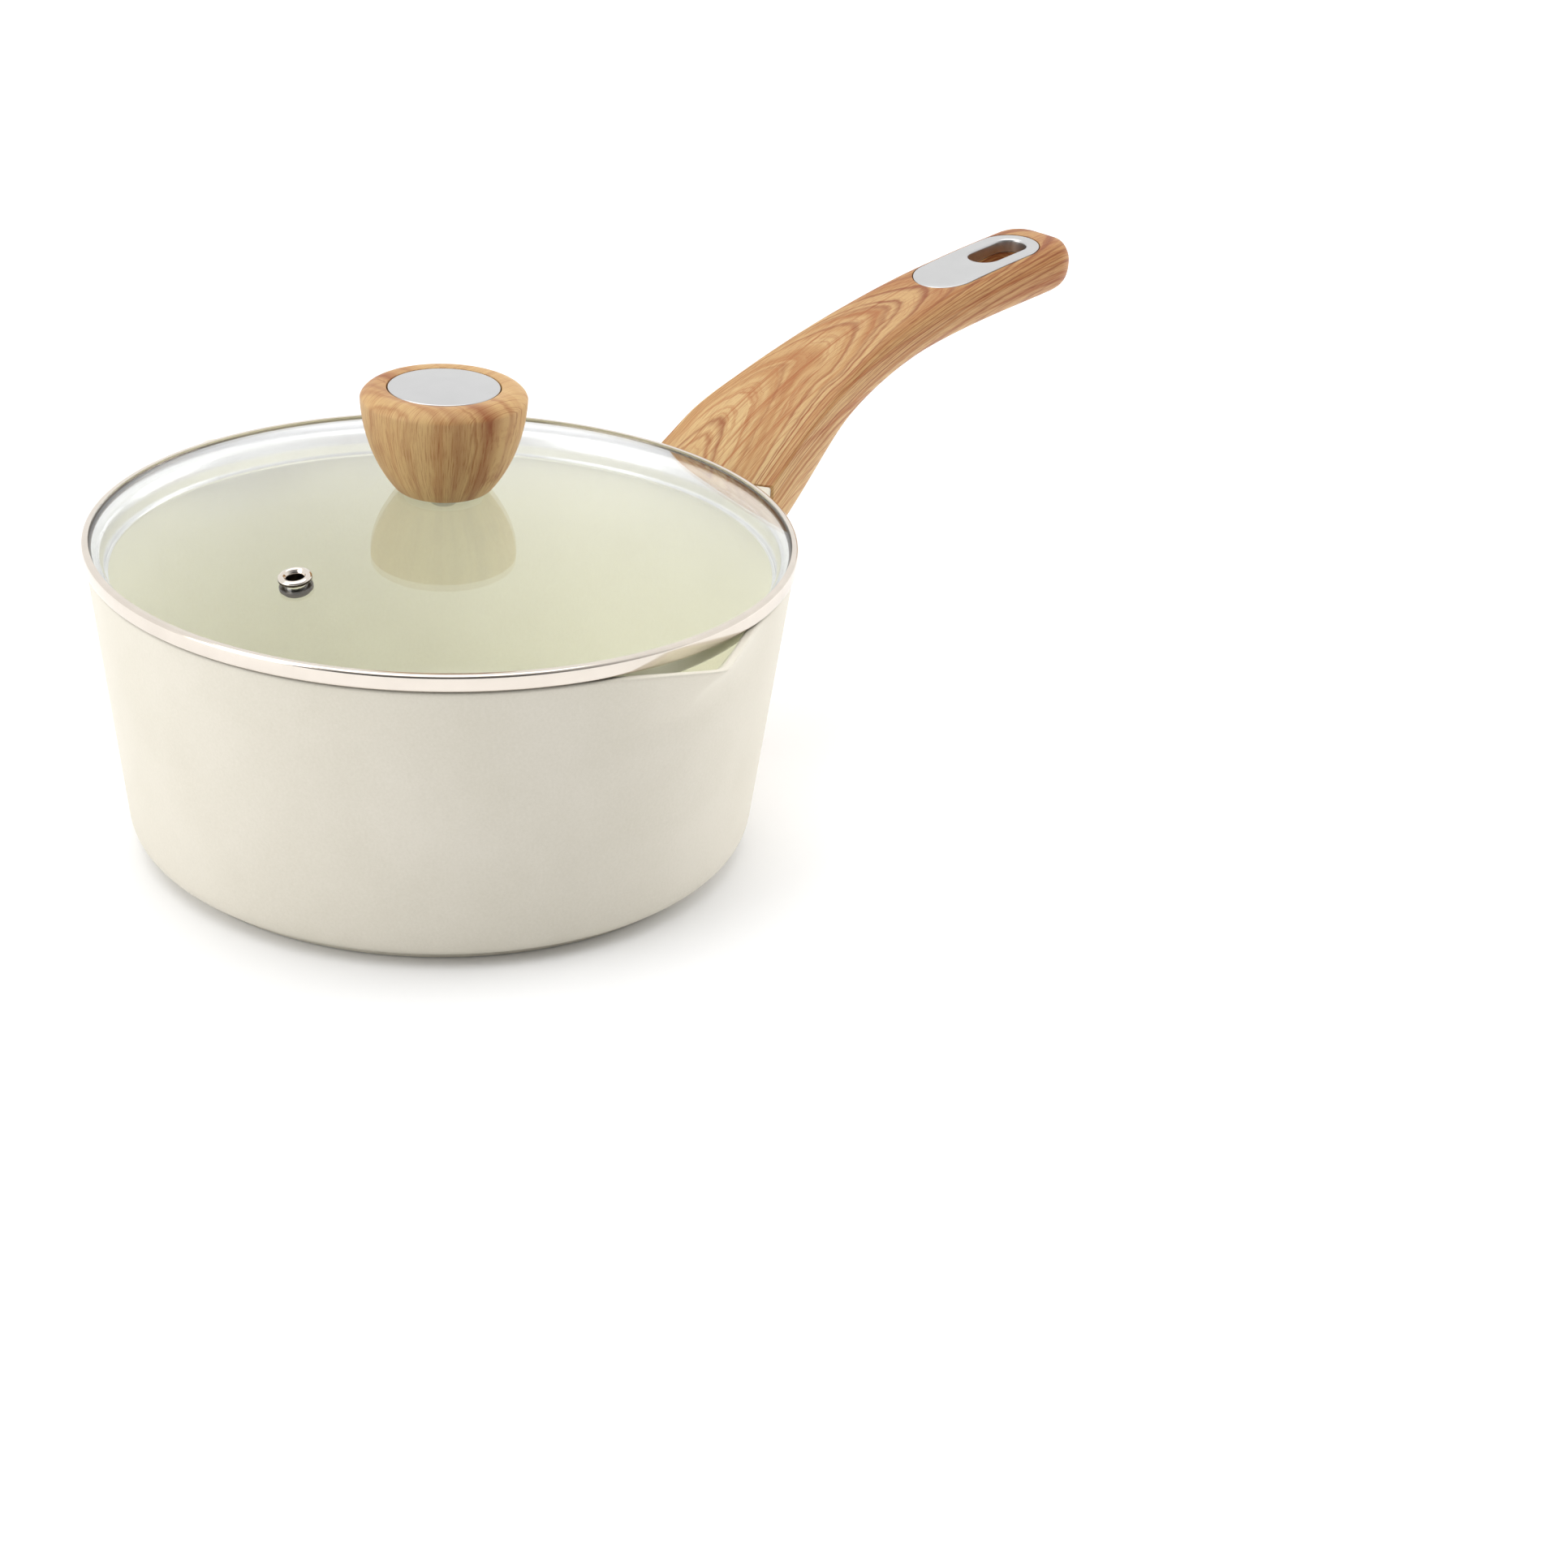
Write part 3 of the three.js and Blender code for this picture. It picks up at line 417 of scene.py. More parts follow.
def clear(name, color, roughness, ior):
    s = Shader(name)
    s.set(Base_Color=(*color, 1), IOR=ior)
    s.put(s.surface, "Transmission Weight", 1.0)
    smudge = s.noise(s.place(), 0.05, 3, 0.5)
    s.set(Roughness=s.span(smudge, 0.3, 0.7, roughness, roughness + 0.02))
    path = s.add("ShaderNodeLightPath").outputs["Is Shadow Ray"]
    passing = s.add("ShaderNodeBsdfTransparent", {"Color": (*color, 1)}).outputs[0]
    both = s.add("ShaderNodeMixShader", {0: path, 1: s.surface.outputs[0], 2: passing}).outputs[0]
    s.put(s.tree.nodes["Material Output"], "Surface", both)
    return s.material


WOOD_LIGHT = srgb(209, 177, 124)
WOOD_TAN = srgb(196, 156, 103)
WOOD_MID = srgb(179, 130, 80)
WOOD_LINE = srgb(168, 101, 53)
WOOD_DARK = srgb(138, 66, 28)
WOOD_WARM = srgb(208, 166, 128)

# (place, width, strength) of the strong lines, in millimetres of the ring field
TOP_MARKS = ((118, 3, 0.5), (124, 5, 0.8), (150, 3, 0.45), (177, 4, 0.65), (189, 5, 0.75), (194, 4, 0.95),
             (206, 6, 0.85), (224, 7, 0.7), (241, 8, 0.8), (258, 6, 0.85))
FLANK_MARKS = ((271, 7, 0.8), (286, 8, 0.85), (305, 10, 0.95), (326, 7, 0.6), (350, 12, 0.7), (378, 8, 0.4),
               (404, 10, 0.5), (438, 8, 0.3), (470, 10, 0.4))
KNOB_MARKS = ((-2, 3, 0.4), (6.6, 8, 0.8), (10, 2, 0.5), (14.6, 5, 0.5), (18.3, 4, 0.3), (23.3, 2, 0.3))

cream = coating("cream_coating", srgb(219, 213, 199), srgb(210, 204, 188), 0.5, 0.12)
khaki = coating("inner_coating", srgb(230, 228, 208), srgb(222, 219, 198), 0.42, 0.08)
handle_wood = wood("handle_wood", ((100, 268, TOP_MARKS), (260, 490, FLANK_MARKS)), 0.32, 0.0, (12.0, 34.0))
knob_wood = wood("knob_wood", ((-30, 30, KNOB_MARKS),), 0.2, 0.6, (-6.0, 34.0))
satin = metal("satin_metal", srgb(201, 201, 201), srgb(196, 196, 196), 0.3)
steel = metal("polished_steel", srgb(223, 214, 203), srgb(216, 207, 196), 0.13, around=True)
# Lit copy of the steel: near-white colour painted on the ring under the glass, standing in for the bright
# surroundings it reflects.
painted_light_steel = metal("painted_light_steel", srgb(246, 246, 246), srgb(240, 240, 240), 0.25, around=True)
# Shaded copy of the steel: dark colour painted where shade falls, in the ring's channel and on the vent's
# lower faces and washer.
shaded_steel = metal("shaded_steel", srgb(92, 82, 72), srgb(74, 66, 58), 0.3, around=True)
zinc = metal("zinc_steel", srgb(205, 205, 201), srgb(182, 182, 178), 0.34)
pressed = metal("pressed_steel", srgb(174, 172, 168), srgb(164, 162, 158), 0.32)
brass = metal("brass", srgb(201, 165, 94), srgb(172, 136, 70), 0.3, around=True)
glass = clear("lid_glass", (0.985, 0.995, 0.985), 0.0, 1.5)
silicone = clear("silicone", (0.93, 0.935, 0.91), 0.35, 1.41)


# ------------------------------------------------------------------ pot

GAP = 0.3
RIM_Z = 90.0
RIM_RADIUS = 103.0
WALL = 3.0
SLOPE = 0.1226
FLOOR_Z = 5.5
BASE_Z = 1.5
FOOT_RADIUS = 85.0
POCKET_RADIUS = 74.0
OUTER_CORNER = 10.0
INNER_CORNER = 8.0
RIM_ROUND = 1.0
CREAM_RIM_ROWS = 3  # rows of the rim's inner rounding that keep the outer colour
LIP_DIRECTION = math.radians(89)
LIP_HEIGHT = 21.0
LIP_SIDE = 100.7
LIP_HALF = math.radians(31)
LIP_BLEND = 1.2
LIP_NOSE = math.radians(0.8)
SEAM_X = 104.5
SEAM_RADIUS = 46.0
SEAM_CENTRE = SEAM_X + SEAM_RADIUS
LUG_HALF = 24.6
LUG_LOW = 56.5
LUG_TOP = RIM_Z - 1.2
LUG_FADE = 14.0  # below its edge the lug fades into the wall over this height
LUG_POWER = 3.6
LUG_SPREAD = math.radians(12)


def outer_wall(z):
    return RIM_RADIUS - SLOPE * (RIM_Z - z)


def lip_reach(angle):
    from_lip = abs(abs(angle) - LIP_DIRECTION)
    off = math.hypot(from_lip, LIP_NOSE)
    out = LIP_SIDE / math.cos(LIP_HALF - min(off, LIP_HALF)) - RIM_RADIUS
    soft = (out + math.hypot(out, LIP_BLEND)) / 2
    return soft * smoothstep(LIP_HALF - off, 0, LIP_HALF / 3)


def lip_share(z):
    return min(1, max(0, (z - RIM_Z + LIP_HEIGHT) / LIP_HEIGHT)) ** 1.6


def seam_reach(angle):
    """Radius of the seam between lug and handle."""
    across = SEAM_CENTRE * math.sin(angle)
    return SEAM_CENTRE * math.cos(angle) - math.sqrt(max(0, SEAM_RADIUS ** 2 - across ** 2))


def lug_corner(z):
    """Angle of the lug's edge at a height."""
    drop = min(1, max(0, (LUG_TOP - z) / (LUG_TOP - LUG_LOW)))
    half = max(3.0, LUG_HALF * (1 - drop ** LUG_POWER) ** (1 / LUG_POWER))
    angle = half / SEAM_X
    for _ in range(8):
        angle = math.asin(half / seam_reach(angle))
    return angle


def lug_reach(angle, z, corner):
    """How far the lug stands out from the round wall."""
    wall = outer_wall(z)
    if z < LUG_LOW - LUG_FADE:
        return 0
    share = smoothstep(z, LUG_LOW - LUG_FADE, LUG_LOW + 1) ** 1.5
    if abs(angle) <= corner + 1e-9:
        return (seam_reach(angle) - wall) * share
    past = (abs(angle) - corner) / LUG_SPREAD
    if past >= 1:
        return 0
    return (seam_reach(corner) - wall) * share * (1 - past) ** 2.4


def pot_profile():
    lean = -math.degrees(math.atan(SLOPE))
    lean_cosine = math.cos(math.atan(SLOPE))
    corner_z = BASE_Z + OUTER_CORNER
    corner_x = outer_wall(corner_z) - OUTER_CORNER / lean_cosine
    foot_turn = -math.degrees(math.acos((FOOT_RADIUS - corner_x) / OUTER_CORNER))
    inner_z = FLOOR_Z + INNER_CORNER
    inner_x = outer_wall(inner_z) - WALL - INNER_CORNER / lean_cosine
    pocket_z = node_box("induction_disc")[1].z + GAP
    heights = [14 + 3.5 * i for i in range(8)] + [40 + 1.2 * i for i in range(41)]
    heights = [z for z in heights if z < RIM_Z - RIM_ROUND - 0.3]
    top_z = RIM_Z - RIM_ROUND
    outside = [(POCKET_RADIUS, pocket_z), (POCKET_RADIUS, 0.25), (POCKET_RADIUS + 0.25, 0)]
    outside += [(FOOT_RADIUS - 0.5, 0), (FOOT_RADIUS - 0.1, 0.15), (FOOT_RADIUS, 0.5)]
    outside += arc(corner_x, corner_z, OUTER_CORNER, foot_turn, lean, 10)
    outside += [(outer_wall(z), z) for z in heights]
    outside += arc(outer_wall(top_z) - RIM_ROUND, top_z, RIM_ROUND, 0, 90, 6)
    inside = arc(outer_wall(top_z) - WALL + RIM_ROUND, top_z, RIM_ROUND, 90, 180, 6)
    inside += [(outer_wall(z) - WALL, z) for z in reversed(heights)]
    inside += arc(inner_x, inner_z, INNER_CORNER, lean, -90, 10)
    return outside, inside, pocket_z


def pot_columns(corner):
    """Angles round the pot. Near the handle they follow the lug's edge."""
    half = [corner * i / 12 for i in range(13)]
    half += [corner + LUG_SPREAD * i / 16 for i in range(1, 17)]
    start = corner + LUG_SPREAD
    low, high = LIP_DIRECTION - math.radians(24), LIP_DIRECTION + math.radians(24)
    half += [mix(start, low, i / 24) for i in range(1, 25)]
    half += [mix(low, high, i / 96) for i in range(1, 97)]
    half += [mix(high, math.pi, i / 40) for i in range(1, 41)]
    return half + [-a for a in reversed(half[1:-1])]


def build_pot():
    outside, inside, pocket_z = pot_profile()
    top_corner = lug_corner(RIM_Z)
    rows = []
    for radius, z in outside:
        corner = lug_corner(z)
        row = []
        for angle in pot_columns(corner):
            out = radius + lip_reach(angle) * lip_share(z) + lug_reach(angle, z, corner)
            row.append((out * math.cos(angle), out * math.sin(angle), z))
        rows.append(row)
    for radius, z in inside:
        row = []
        for angle in pot_columns(top_corner):
            out = radius + lip_reach(angle) * lip_share(z)
            row.append((out * math.cos(angle), out * math.sin(angle), z))
        rows.append(row)
    floor_edge = rows[-1]
    for share in (0.75, 0.5, 0.25, 0.08):
        rows.append([(x * share, y * share, FLOOR_Z) for x, y, _ in floor_edge])
    piece = skin("pot", rows)
    piece.data.materials.append(cream)
    piece.data.materials.append(khaki)
    first_inner = len(outside) + CREAM_RIM_ROWS
    columns = len(rows[0])
    for face in piece.data.polygons:
        if min(face.vertices) // columns >= first_inner:
            face.material_index = 1
    tongue = tongue_bar(0)
    tongue.data.materials.append(cream)
    cut(piece, tongue, "UNION")
    return smooth(piece, 38)


# ------------------------------------------------------------------ handle shapes

HANDLE_END_X = 256.0
END_RISE = 0.09  # climb of the handle's end, per millimetre along X
END_TOP_DROP = 5.0
END_UNDER_RISE = 2.5
LAST_TURN = 80
HANDLE_END_LENGTH = (node_box("handle_body")[1].x - HANDLE_END_X) / math.sin(math.radians(LAST_TURN))
TONGUE_TILT = math.radians(32)
TONGUE_ROOT = Vector((97, 0, 71))
TONGUE_LENGTH = 54.0
TONGUE_INSIDE_WALL = 6.0  # the bar starts here, inside the thickness of wall and lug
TONGUE_WIDTH = 15.0
TONGUE_DEPTH = 9.0
SCREW_ALONG = 42.0
SCREW_RADIUS = 2.4
HEAD_RADIUS = 4.3
HEAD_DEPTH = 2.6
SCREW_WALL = 3.0  # handle left between the tongue and the washer
LOCK_WASHER_DEPTH = 1.0
WASHER_TOP = TONGUE_DEPTH / 2 + GAP + SCREW_WALL + GAP
WASHER_BOTTOM = WASHER_TOP + LOCK_WASHER_DEPTH
HEAD_BOTTOM = WASHER_BOTTOM + GAP + HEAD_DEPTH
PLATE_START = 205.0
PLATE_END = 257.0
PLATE_HALF = 10.6
PLATE_THICKNESS = 1.2
LOOP_START = 229.6
LOOP_END = 253.0
LOOP_HALF = 5.7
LOOP_LEDGE = 0.4
LOOP_FLARE = 4.4  # the loop widens this much towards the underside
LINER = 0.8
LINER_DEPTH = 4.4
CUTTER_TOP = 160.0  # above every piece

top_rail = through([(SEAM_X, RIM_Z), (112, 94.7), (125, 103), (140, 110.2), (160, 118.7), (180, 125),
                    (205, 130.9), (230, 134.8), (HANDLE_END_X, 137.6)])
bottom_rail = through([(SEAM_X, 55.5), (112, 60), (130, 73.2), (155, 94), (185, 108.4), (215, 114.9),
                       (HANDLE_END_X, 119.5)])
half_width = through([(SEAM_X, 26.6), (112, 25.3), (125, 23.4), (140, 20.8), (160, 17.7), (180, 16.1),
                      (205, 15.5), (HANDLE_END_X, 15.6)])
crown_rise = through([(SEAM_X, 5), (112, 4.6), (125, 2.8), (140, 1.9), (160, 1.2), (180, 0.5),
                      (200, 0.1), (HANDLE_END_X, 0.1)])
edge_round = through([(SEAM_X, 1.2), (130, 1.6), (215, 6.3), (HANDLE_END_X, 6.5)])
lower_power = through([(SEAM_X, 3.6), (130, 3.2), (160, 2.5), (HANDLE_END_X, 2.5)])


def top_at(x):
    """Height of the handle's top along its middle, carried on past the straight part."""
    return top_rail(min(x, HANDLE_END_X)) + END_RISE * max(0, x - HANDLE_END_X)


def section(x, top, bottom, half, crown, edge, power):
    """Handle outline at x: a crowned top with rounded edges, over a deeper curve."""
    edge = min(edge, half * 0.8)
    flat = half - edge
    outline = []
    for i in range(9):
        y = flat * i / 8
        outline.append((y, top - crown * (y / half) ** 2))
    shoulder = outline[-1][1] - edge
    outline += arc(flat, shoulder, edge, 80, 0, 8)
    for i in range(1, 21):
        turned_by = math.pi / 2 * i / 20
        y = half * max(0, math.cos(turned_by)) ** (2 / power)
        outline.append((y, shoulder - (shoulder - bottom) * math.sin(turned_by) ** (2 / power)))
    loop = [(-y, z) for y, z in outline] + outline[-2:0:-1]
    return [(x, y, z) for y, z in loop]


def section_at(x):
    return section(x, top_rail(x), bottom_rail(x), half_width(x), crown_rise(x), edge_round(x),
                   lower_power(x))


def tongue_frame():
    return Matrix.Translation(TONGUE_ROOT * MM) @ Matrix.Rotation(-TONGUE_TILT, 4, "Y")


def tongue_bar(grow):
    length = TONGUE_LENGTH + grow
    y, z = TONGUE_WIDTH / 2 + grow, TONGUE_DEPTH / 2 + grow
    corners = rounded([(-y, -z), (-y, z), (y, z), (y, -z)], 0.8, 3, closed=True)
    bar = skin("bar", [[(x, b, c) for b, c in corners] for x in (TONGUE_INSIDE_WALL, length)])
    bar.data.transform(tongue_frame())
    return bar


def across_tongue(name, profile, segments=48, ring=False):
    """A turned shape on the screw's axis. Its z is measured from the tongue's middle, negative downwards."""
    place = tongue_frame() @ Matrix.Translation((SCREW_ALONG * MM, 0, 0))
    return turned(name, profile, segments, place, ring)


def prism(name, outlines):
    """A closed solid over plan outlines, each with its own height: (outline, height of a point)."""
    rows = [[(x, y, height(x, y)) for x, y in outline] for outline, height in outlines]
    return skin(name, rows)


def upright_cutter(start, end, half, low, high, count=96):
    shape = stadium(start, end, half, count)
    return prism("cutter", [(shape, low), (shape, high)])


def store_grain(piece, locate):
    """Keeps each point's place in the wood film, in centimetres: along the grain, ring field, across."""
    attribute = piece.data.attributes.new("grain", "FLOAT_VECTOR", "POINT")
    values = []
    for vertex in piece.data.vertices:
        values.extend(locate(vertex.co / MM))
    attribute.data.foreach_set("vector", values)


GRAIN_MIDDLE = through([(SEAM_X, 9), (144, 8.4), (154, 4), (180, 1.4), (204, -1.5), (HANDLE_END_X, 0)])


def handle_grain(p):
    """Nested arches point along the handle's top. Their legs run into long lines down the sides."""
    x = min(p.x, HANDLE_END_X)
    down = max(0, top_at(p.x) - p.z)
    from_middle = abs(p.y - GRAIN_MIDDLE(x)) + down
    past_edge = abs(p.y) + down - half_width(x) + 2
    flank = 4 * (past_edge + math.hypot(past_edge, 3))
    ring = p.x + 0.45 * from_middle ** 1.45 + flank
    return p.x / 10, ring / 10, (p.y + math.copysign(down, p.y)) / 10


def build_handle():
    rows = []
    for i in range(141):
        rows.append(section_at(SEAM_X - 2 + (HANDLE_END_X - SEAM_X + 2) * i / 140))
    for degrees in (6, 12, 18, 25, 32, 39, 46, 52, 58, 64, 70, 75, LAST_TURN):
        turned_by = math.radians(degrees)
        past = HANDLE_END_LENGTH * math.sin(turned_by)
        drop = 1 - math.cos(turned_by)
        rows.append(section(
            HANDLE_END_X + past,
            top_rail(HANDLE_END_X) + END_RISE * past - END_TOP_DROP * drop ** 1.6,
            bottom_rail(HANDLE_END_X) + END_RISE * past + END_UNDER_RISE * drop ** 2,
            half_width(HANDLE_END_X) * math.cos(turned_by) ** 0.72,
            crown_rise(HANDLE_END_X),
            edge_round(HANDLE_END_X),
            lower_power(HANDLE_END_X),
        ))
    piece = skin("handle", rows)
    seam = turned("seam", [(0, 0), (SEAM_RADIUS - GAP, 0), (SEAM_RADIUS - GAP, 180), (0, 180)], 360)
    seam.data.transform(Matrix.Translation((SEAM_CENTRE * MM, 0, 0)))
    near = skin("near", [[(x, -40, 20), (x, -40, 150), (x, 40, 150), (x, 40, 20)] for x in (80, 134)])
    cut(piece, cut(near, seam))
    cut(piece, tongue_bar(GAP))
    bore = HEAD_RADIUS + 2 * GAP
    bore_end = -WASHER_TOP + GAP
    bore_profile = [(0, -40), (bore + 1, -40), (bore + 1, -HEAD_BOTTOM - 6), (bore, -HEAD_BOTTOM - 5)]
    cut(piece, across_tongue("bore", bore_profile + [(bore, bore_end), (0, bore_end)]))
    shank = SCREW_RADIUS + GAP
    cut(piece, across_tongue("clearance", [(0, -WASHER_TOP), (shank, -WASHER_TOP), (shank, 0), (0, 0)]))
    cut(piece, upright_cutter(PLATE_START - GAP, PLATE_END + GAP, PLATE_HALF + GAP,
                              lambda x, y: top_at(x) - PLATE_THICKNESS - GAP, lambda x, y: CUTTER_TOP))
    liner = LINER + GAP
    cut(piece, upright_cutter(LOOP_START - liner, LOOP_END + liner, LOOP_HALF + liner,
                              lambda x, y: top_at(x) - LINER_DEPTH - GAP, lambda x, y: CUTTER_TOP))
    wide, narrow = (stadium(LOOP_START - grow, LOOP_END + grow, LOOP_HALF + grow, 96)
                    for grow in (LOOP_FLARE, LOOP_LEDGE))
    under = bottom_rail(HANDLE_END_X)
    cut(piece, prism("loop", [(wide, lambda x, y: top_at(x) - 23), (narrow, lambda x, y: under - 1.0),
                              (narrow, lambda x, y: CUTTER_TOP)]))
    store_grain(piece, handle_grain)
    piece.data.materials.clear()
    piece.data.materials.append(handle_wood)
    return smooth(piece, 34)


def build_plate():
    """The hanger plate: loops from its edge over the top, down the loop's liner and back underneath."""
    count = 160
    edge = 0.35
    chamfer = 0.2

    def around(grow, hole_share):
        outer = stadium(PLATE_START - grow, PLATE_END + grow, PLATE_HALF + grow, count)
        inner = stadium(LOOP_START - LINER, LOOP_END + LINER, LOOP_HALF + LINER, count)
        return [(mix(a[0], b[0], hole_share), mix(a[1], b[1], hole_share)) for a, b in zip(outer, inner)]

    def hole(grow):
        return stadium(LOOP_START - grow, LOOP_END + grow, LOOP_HALF + grow, count)

    loops = [(around(0, 0), -PLATE_THICKNESS), (around(0, 0), -edge), (around(-0.1, 0), -0.1)]
    loops += [(around(-edge, share), 0) for share in (0, 0.2, 0.4, 0.6, 0.8, 1.0)]
    for degrees in (15, 30, 45, 60, 75, 90):
        turned_by = math.radians(degrees)
        loops.append((hole(LINER * (1 - math.sin(turned_by))), -LINER * (1 - math.cos(turned_by))))
    loops += [(hole(0), -2), (hole(0), -LINER_DEPTH + chamfer), (hole(chamfer), -LINER_DEPTH)]
    loops += [(hole(LINER - chamfer), -LINER_DEPTH), (hole(LINER), -LINER_DEPTH + chamfer)]
    loops += [(hole(LINER), -PLATE_THICKNESS - chamfer)]
    loops += [(around(0, 0.97), -PLATE_THICKNESS), (around(0, 0.5), -PLATE_THICKNESS)]
    rows = [[(x, y, top_at(x) + down) for x, y in outline] for outline, down in loops]
    piece = skin("hanger_plate_fine", rows, ring=True)
    piece.data.materials.append(satin)
    return smooth(piece, 40)


def cross_cutter(size, depth, place):
    """A screw's cross recess, narrower towards its bottom."""
    tip, blade = size / 2, size / 8
    outline = [(tip, -blade), (tip, blade), (blade, blade), (blade, tip), (-blade, tip), (-blade, blade),
               (-tip, blade), (-tip, -blade), (-blade, -blade), (-blade, -tip), (blade, -tip), (blade, -blade)]
    levels = ((-1, 1.0), (0, 1.0), (depth, 0.55))
    rows = [[(x * share, y * share, z) for x, y in outline] for z, share in levels]
    cutter = skin("cross", rows)
    cutter.data.transform(place)
    return cutter


def threaded(radius, low, high, pitch, depth):
    """Outline of a screw's thread as plain ridges, from low to high."""
    root = radius - depth
    outline = []
    z = low
    while z + pitch < high:
        outline += [(radius, z), (radius, z + pitch * 0.3), (root, z + pitch * 0.6), (root, z + pitch * 0.7)]
        z += pitch
    return outline


def build_handle_screw():
    shank_end = TONGUE_DEPTH / 2 - 1
    low = -HEAD_BOTTOM
    under = low + HEAD_DEPTH
    head = rounded([(0, low), (HEAD_RADIUS - 1.2, low), (HEAD_RADIUS, low + 1.3), (HEAD_RADIUS, under),
                    (SCREW_RADIUS, under), (SCREW_RADIUS, -TONGUE_DEPTH / 2)], [0, 1.2, 0.8, 0.3, 0.2, 0], 4)
    shank = threaded(SCREW_RADIUS, -TONGUE_DEPTH / 2 + 0.2, shank_end - 1, 0.9, 0.35)
    tip = [(SCREW_RADIUS - 0.8, shank_end), (0, shank_end)]
    piece = across_tongue("handle_screw_fine", head + shank + tip)
    place = tongue_frame() @ Matrix.Translation((SCREW_ALONG * MM, 0, low * MM))
    cut(piece, cross_cutter(4.6, 1.6, place))
    piece.data.materials.clear()
    piece.data.materials.append(zinc)
    return smooth(piece)


def ring_profile(inner, outer, low, high, corner):
    return rounded([(inner, low), (outer, low), (outer, high), (inner, high)], corner, 4, closed=True)


def build_lock_washer():
    profile = ring_profile(SCREW_RADIUS + GAP, HEAD_RADIUS, -WASHER_BOTTOM, -WASHER_TOP, 0.2)
    piece = across_tongue("lock_washer_fine", profile, ring=True)
    piece.data.materials.append(zinc)
    return smooth(piece)


def build_induction_disc():
    low, high = node_box("induction_disc")
    radius, top = high.x, high.z
    profile = [(0, 0), (28, 0), (28.4, 0.18), (29.6, 0.18), (30, 0)]
    profile += [(60, 0), (60.4, 0.18), (61.6, 0.18), (62, 0)]
    profile += [(radius - 0.3, 0), (radius, 0.3), (radius, top), (0, top)]
    piece = turned("induction_disc_fine", profile, 180)
    for ring, holes, shift in ((25, 6, 0.5), (50, 12, 0)):
        for i in range(holes):
            angle = 2 * math.pi * (i + shift) / holes
            place = Matrix.Translation((ring * math.cos(angle) * MM, ring * math.sin(angle) * MM, 0))
            cut(piece, turned("hole", [(0, -1), (3.1, -1), (2.6, 0.25), (2.6, 3), (0, 3)], 24, place))
    piece.data.materials.clear()
    piece.data.materials.append(pressed)
    return smooth(piece)


# ------------------------------------------------------------------ lid

RING_RADIUS = node_box("lid_rim_ring")[1].x
RING_TOP = node_box("lid_rim_ring")[1].z
RING_BOTTOM = RIM_Z + GAP
SHEET = 0.6
SKIRT_RADIUS = 97.6
SKIRT_BOTTOM = node_box("lid_rim_ring")[0].z
CHANNEL_INSIDE = 101.6  # inner edge of the painted shade in the channel round the glass edge
CHANNEL_OUTSIDE = 103.6
GLASS_RADIUS = 103.0
GLASS_EDGE_Z = 94.4
GLASS_TOP_Z = 109.0
GLASS_THICKNESS = 3.1
GLASS_HOLE = 4.0
DOME_RISE = GLASS_TOP_Z - GLASS_EDGE_Z
DOME_RADIUS = (GLASS_RADIUS ** 2 + DOME_RISE ** 2) / (2 * DOME_RISE)
DOME_CENTRE_Z = GLASS_TOP_Z - DOME_RADIUS
VENT_DISTANCE = 69.0
VENT_ANGLE = math.radians(193.5)
VENT_RADIUS = 4.8
VENT_BORE = 2.35
VENT_BARREL = 3.0
VENT_HOLE = 3.4
VENT_WASHER_DEPTH = 1.0


def dome_z(radius, depth):
    return DOME_CENTRE_Z + math.sqrt((DOME_RADIUS - depth) ** 2 - radius ** 2)


def vent_frame():
    """On the dome at the vent, with Z straight out of the glass."""
    x, y = VENT_DISTANCE * math.cos(VENT_ANGLE), VENT_DISTANCE * math.sin(VENT_ANGLE)
    place = Vector((x, y, dome_z(VENT_DISTANCE, 0)))
    normal = (place - Vector((0, 0, DOME_CENTRE_Z))).normalized()
    tilt = Vector((0, 0, 1)).rotation_difference(normal)
    return Matrix.Translation(place * MM) @ tilt.to_matrix().to_4x4()


def build_lid_ring():
    half = SHEET / 2
    outer = RING_RADIUS - half
    top = RING_TOP - half
    bottom = RING_BOTTOM + half
    bend = 0.75
    hem = 0.6
    path = [(outer - 1.7, top)] + arc(outer - bend, top - bend, bend, 90, 0, 8)
    path += arc(outer - bend, bottom + bend, bend, 0, -90, 8)
    path += rounded([(100.6, bottom), (98.6, bottom - 0.9), (SKIRT_RADIUS, bottom - 3.6),
                     (SKIRT_RADIUS, bottom - 6)], 1.0, 6)
    path += arc(SKIRT_RADIUS - hem, SKIRT_BOTTOM + half + hem, hem, 0, -200, 14)
    piece = turned("lid_ring_fine", strip(path, SHEET), 288, ring=True)
    # Plain steel, with a lit copy and a shaded copy of it for painted light and painted shade.
    for material in (steel, painted_light_steel, shaded_steel):
        piece.data.materials.append(material)
    for face in piece.data.polygons:
        radius = math.hypot(face.center.x, face.center.y) / MM
        # Skirt and flange under the glass: painted light.
        if radius < CHANNEL_INSIDE:
            face.material_index = 1
        # Channel round the glass edge: painted shade.
        elif radius < CHANNEL_OUTSIDE and face.center.z < (RING_TOP - 2) * MM:
            face.material_index = 2
    return smooth(piece, 40)


def build_lid_glass():
    radii = [GLASS_HOLE + (GLASS_RADIUS - GLASS_HOLE) * i / 40 for i in range(41)]
    under = [(r, dome_z(r, GLASS_THICKNESS)) for r in radii]
    over = [(r, dome_z(r, 0)) for r in reversed(radii)]
    piece = turned("lid_glass_fine", under + over, 288, ring=True)
    hole = turned("hole", [(0, -9), (VENT_HOLE, -9), (VENT_HOLE, 6), (0, 6)], 48, vent_frame())
    cut(piece, hole)
    piece.data.materials.clear()
    piece.data.materials.append(glass)
    return smooth(piece, 30)


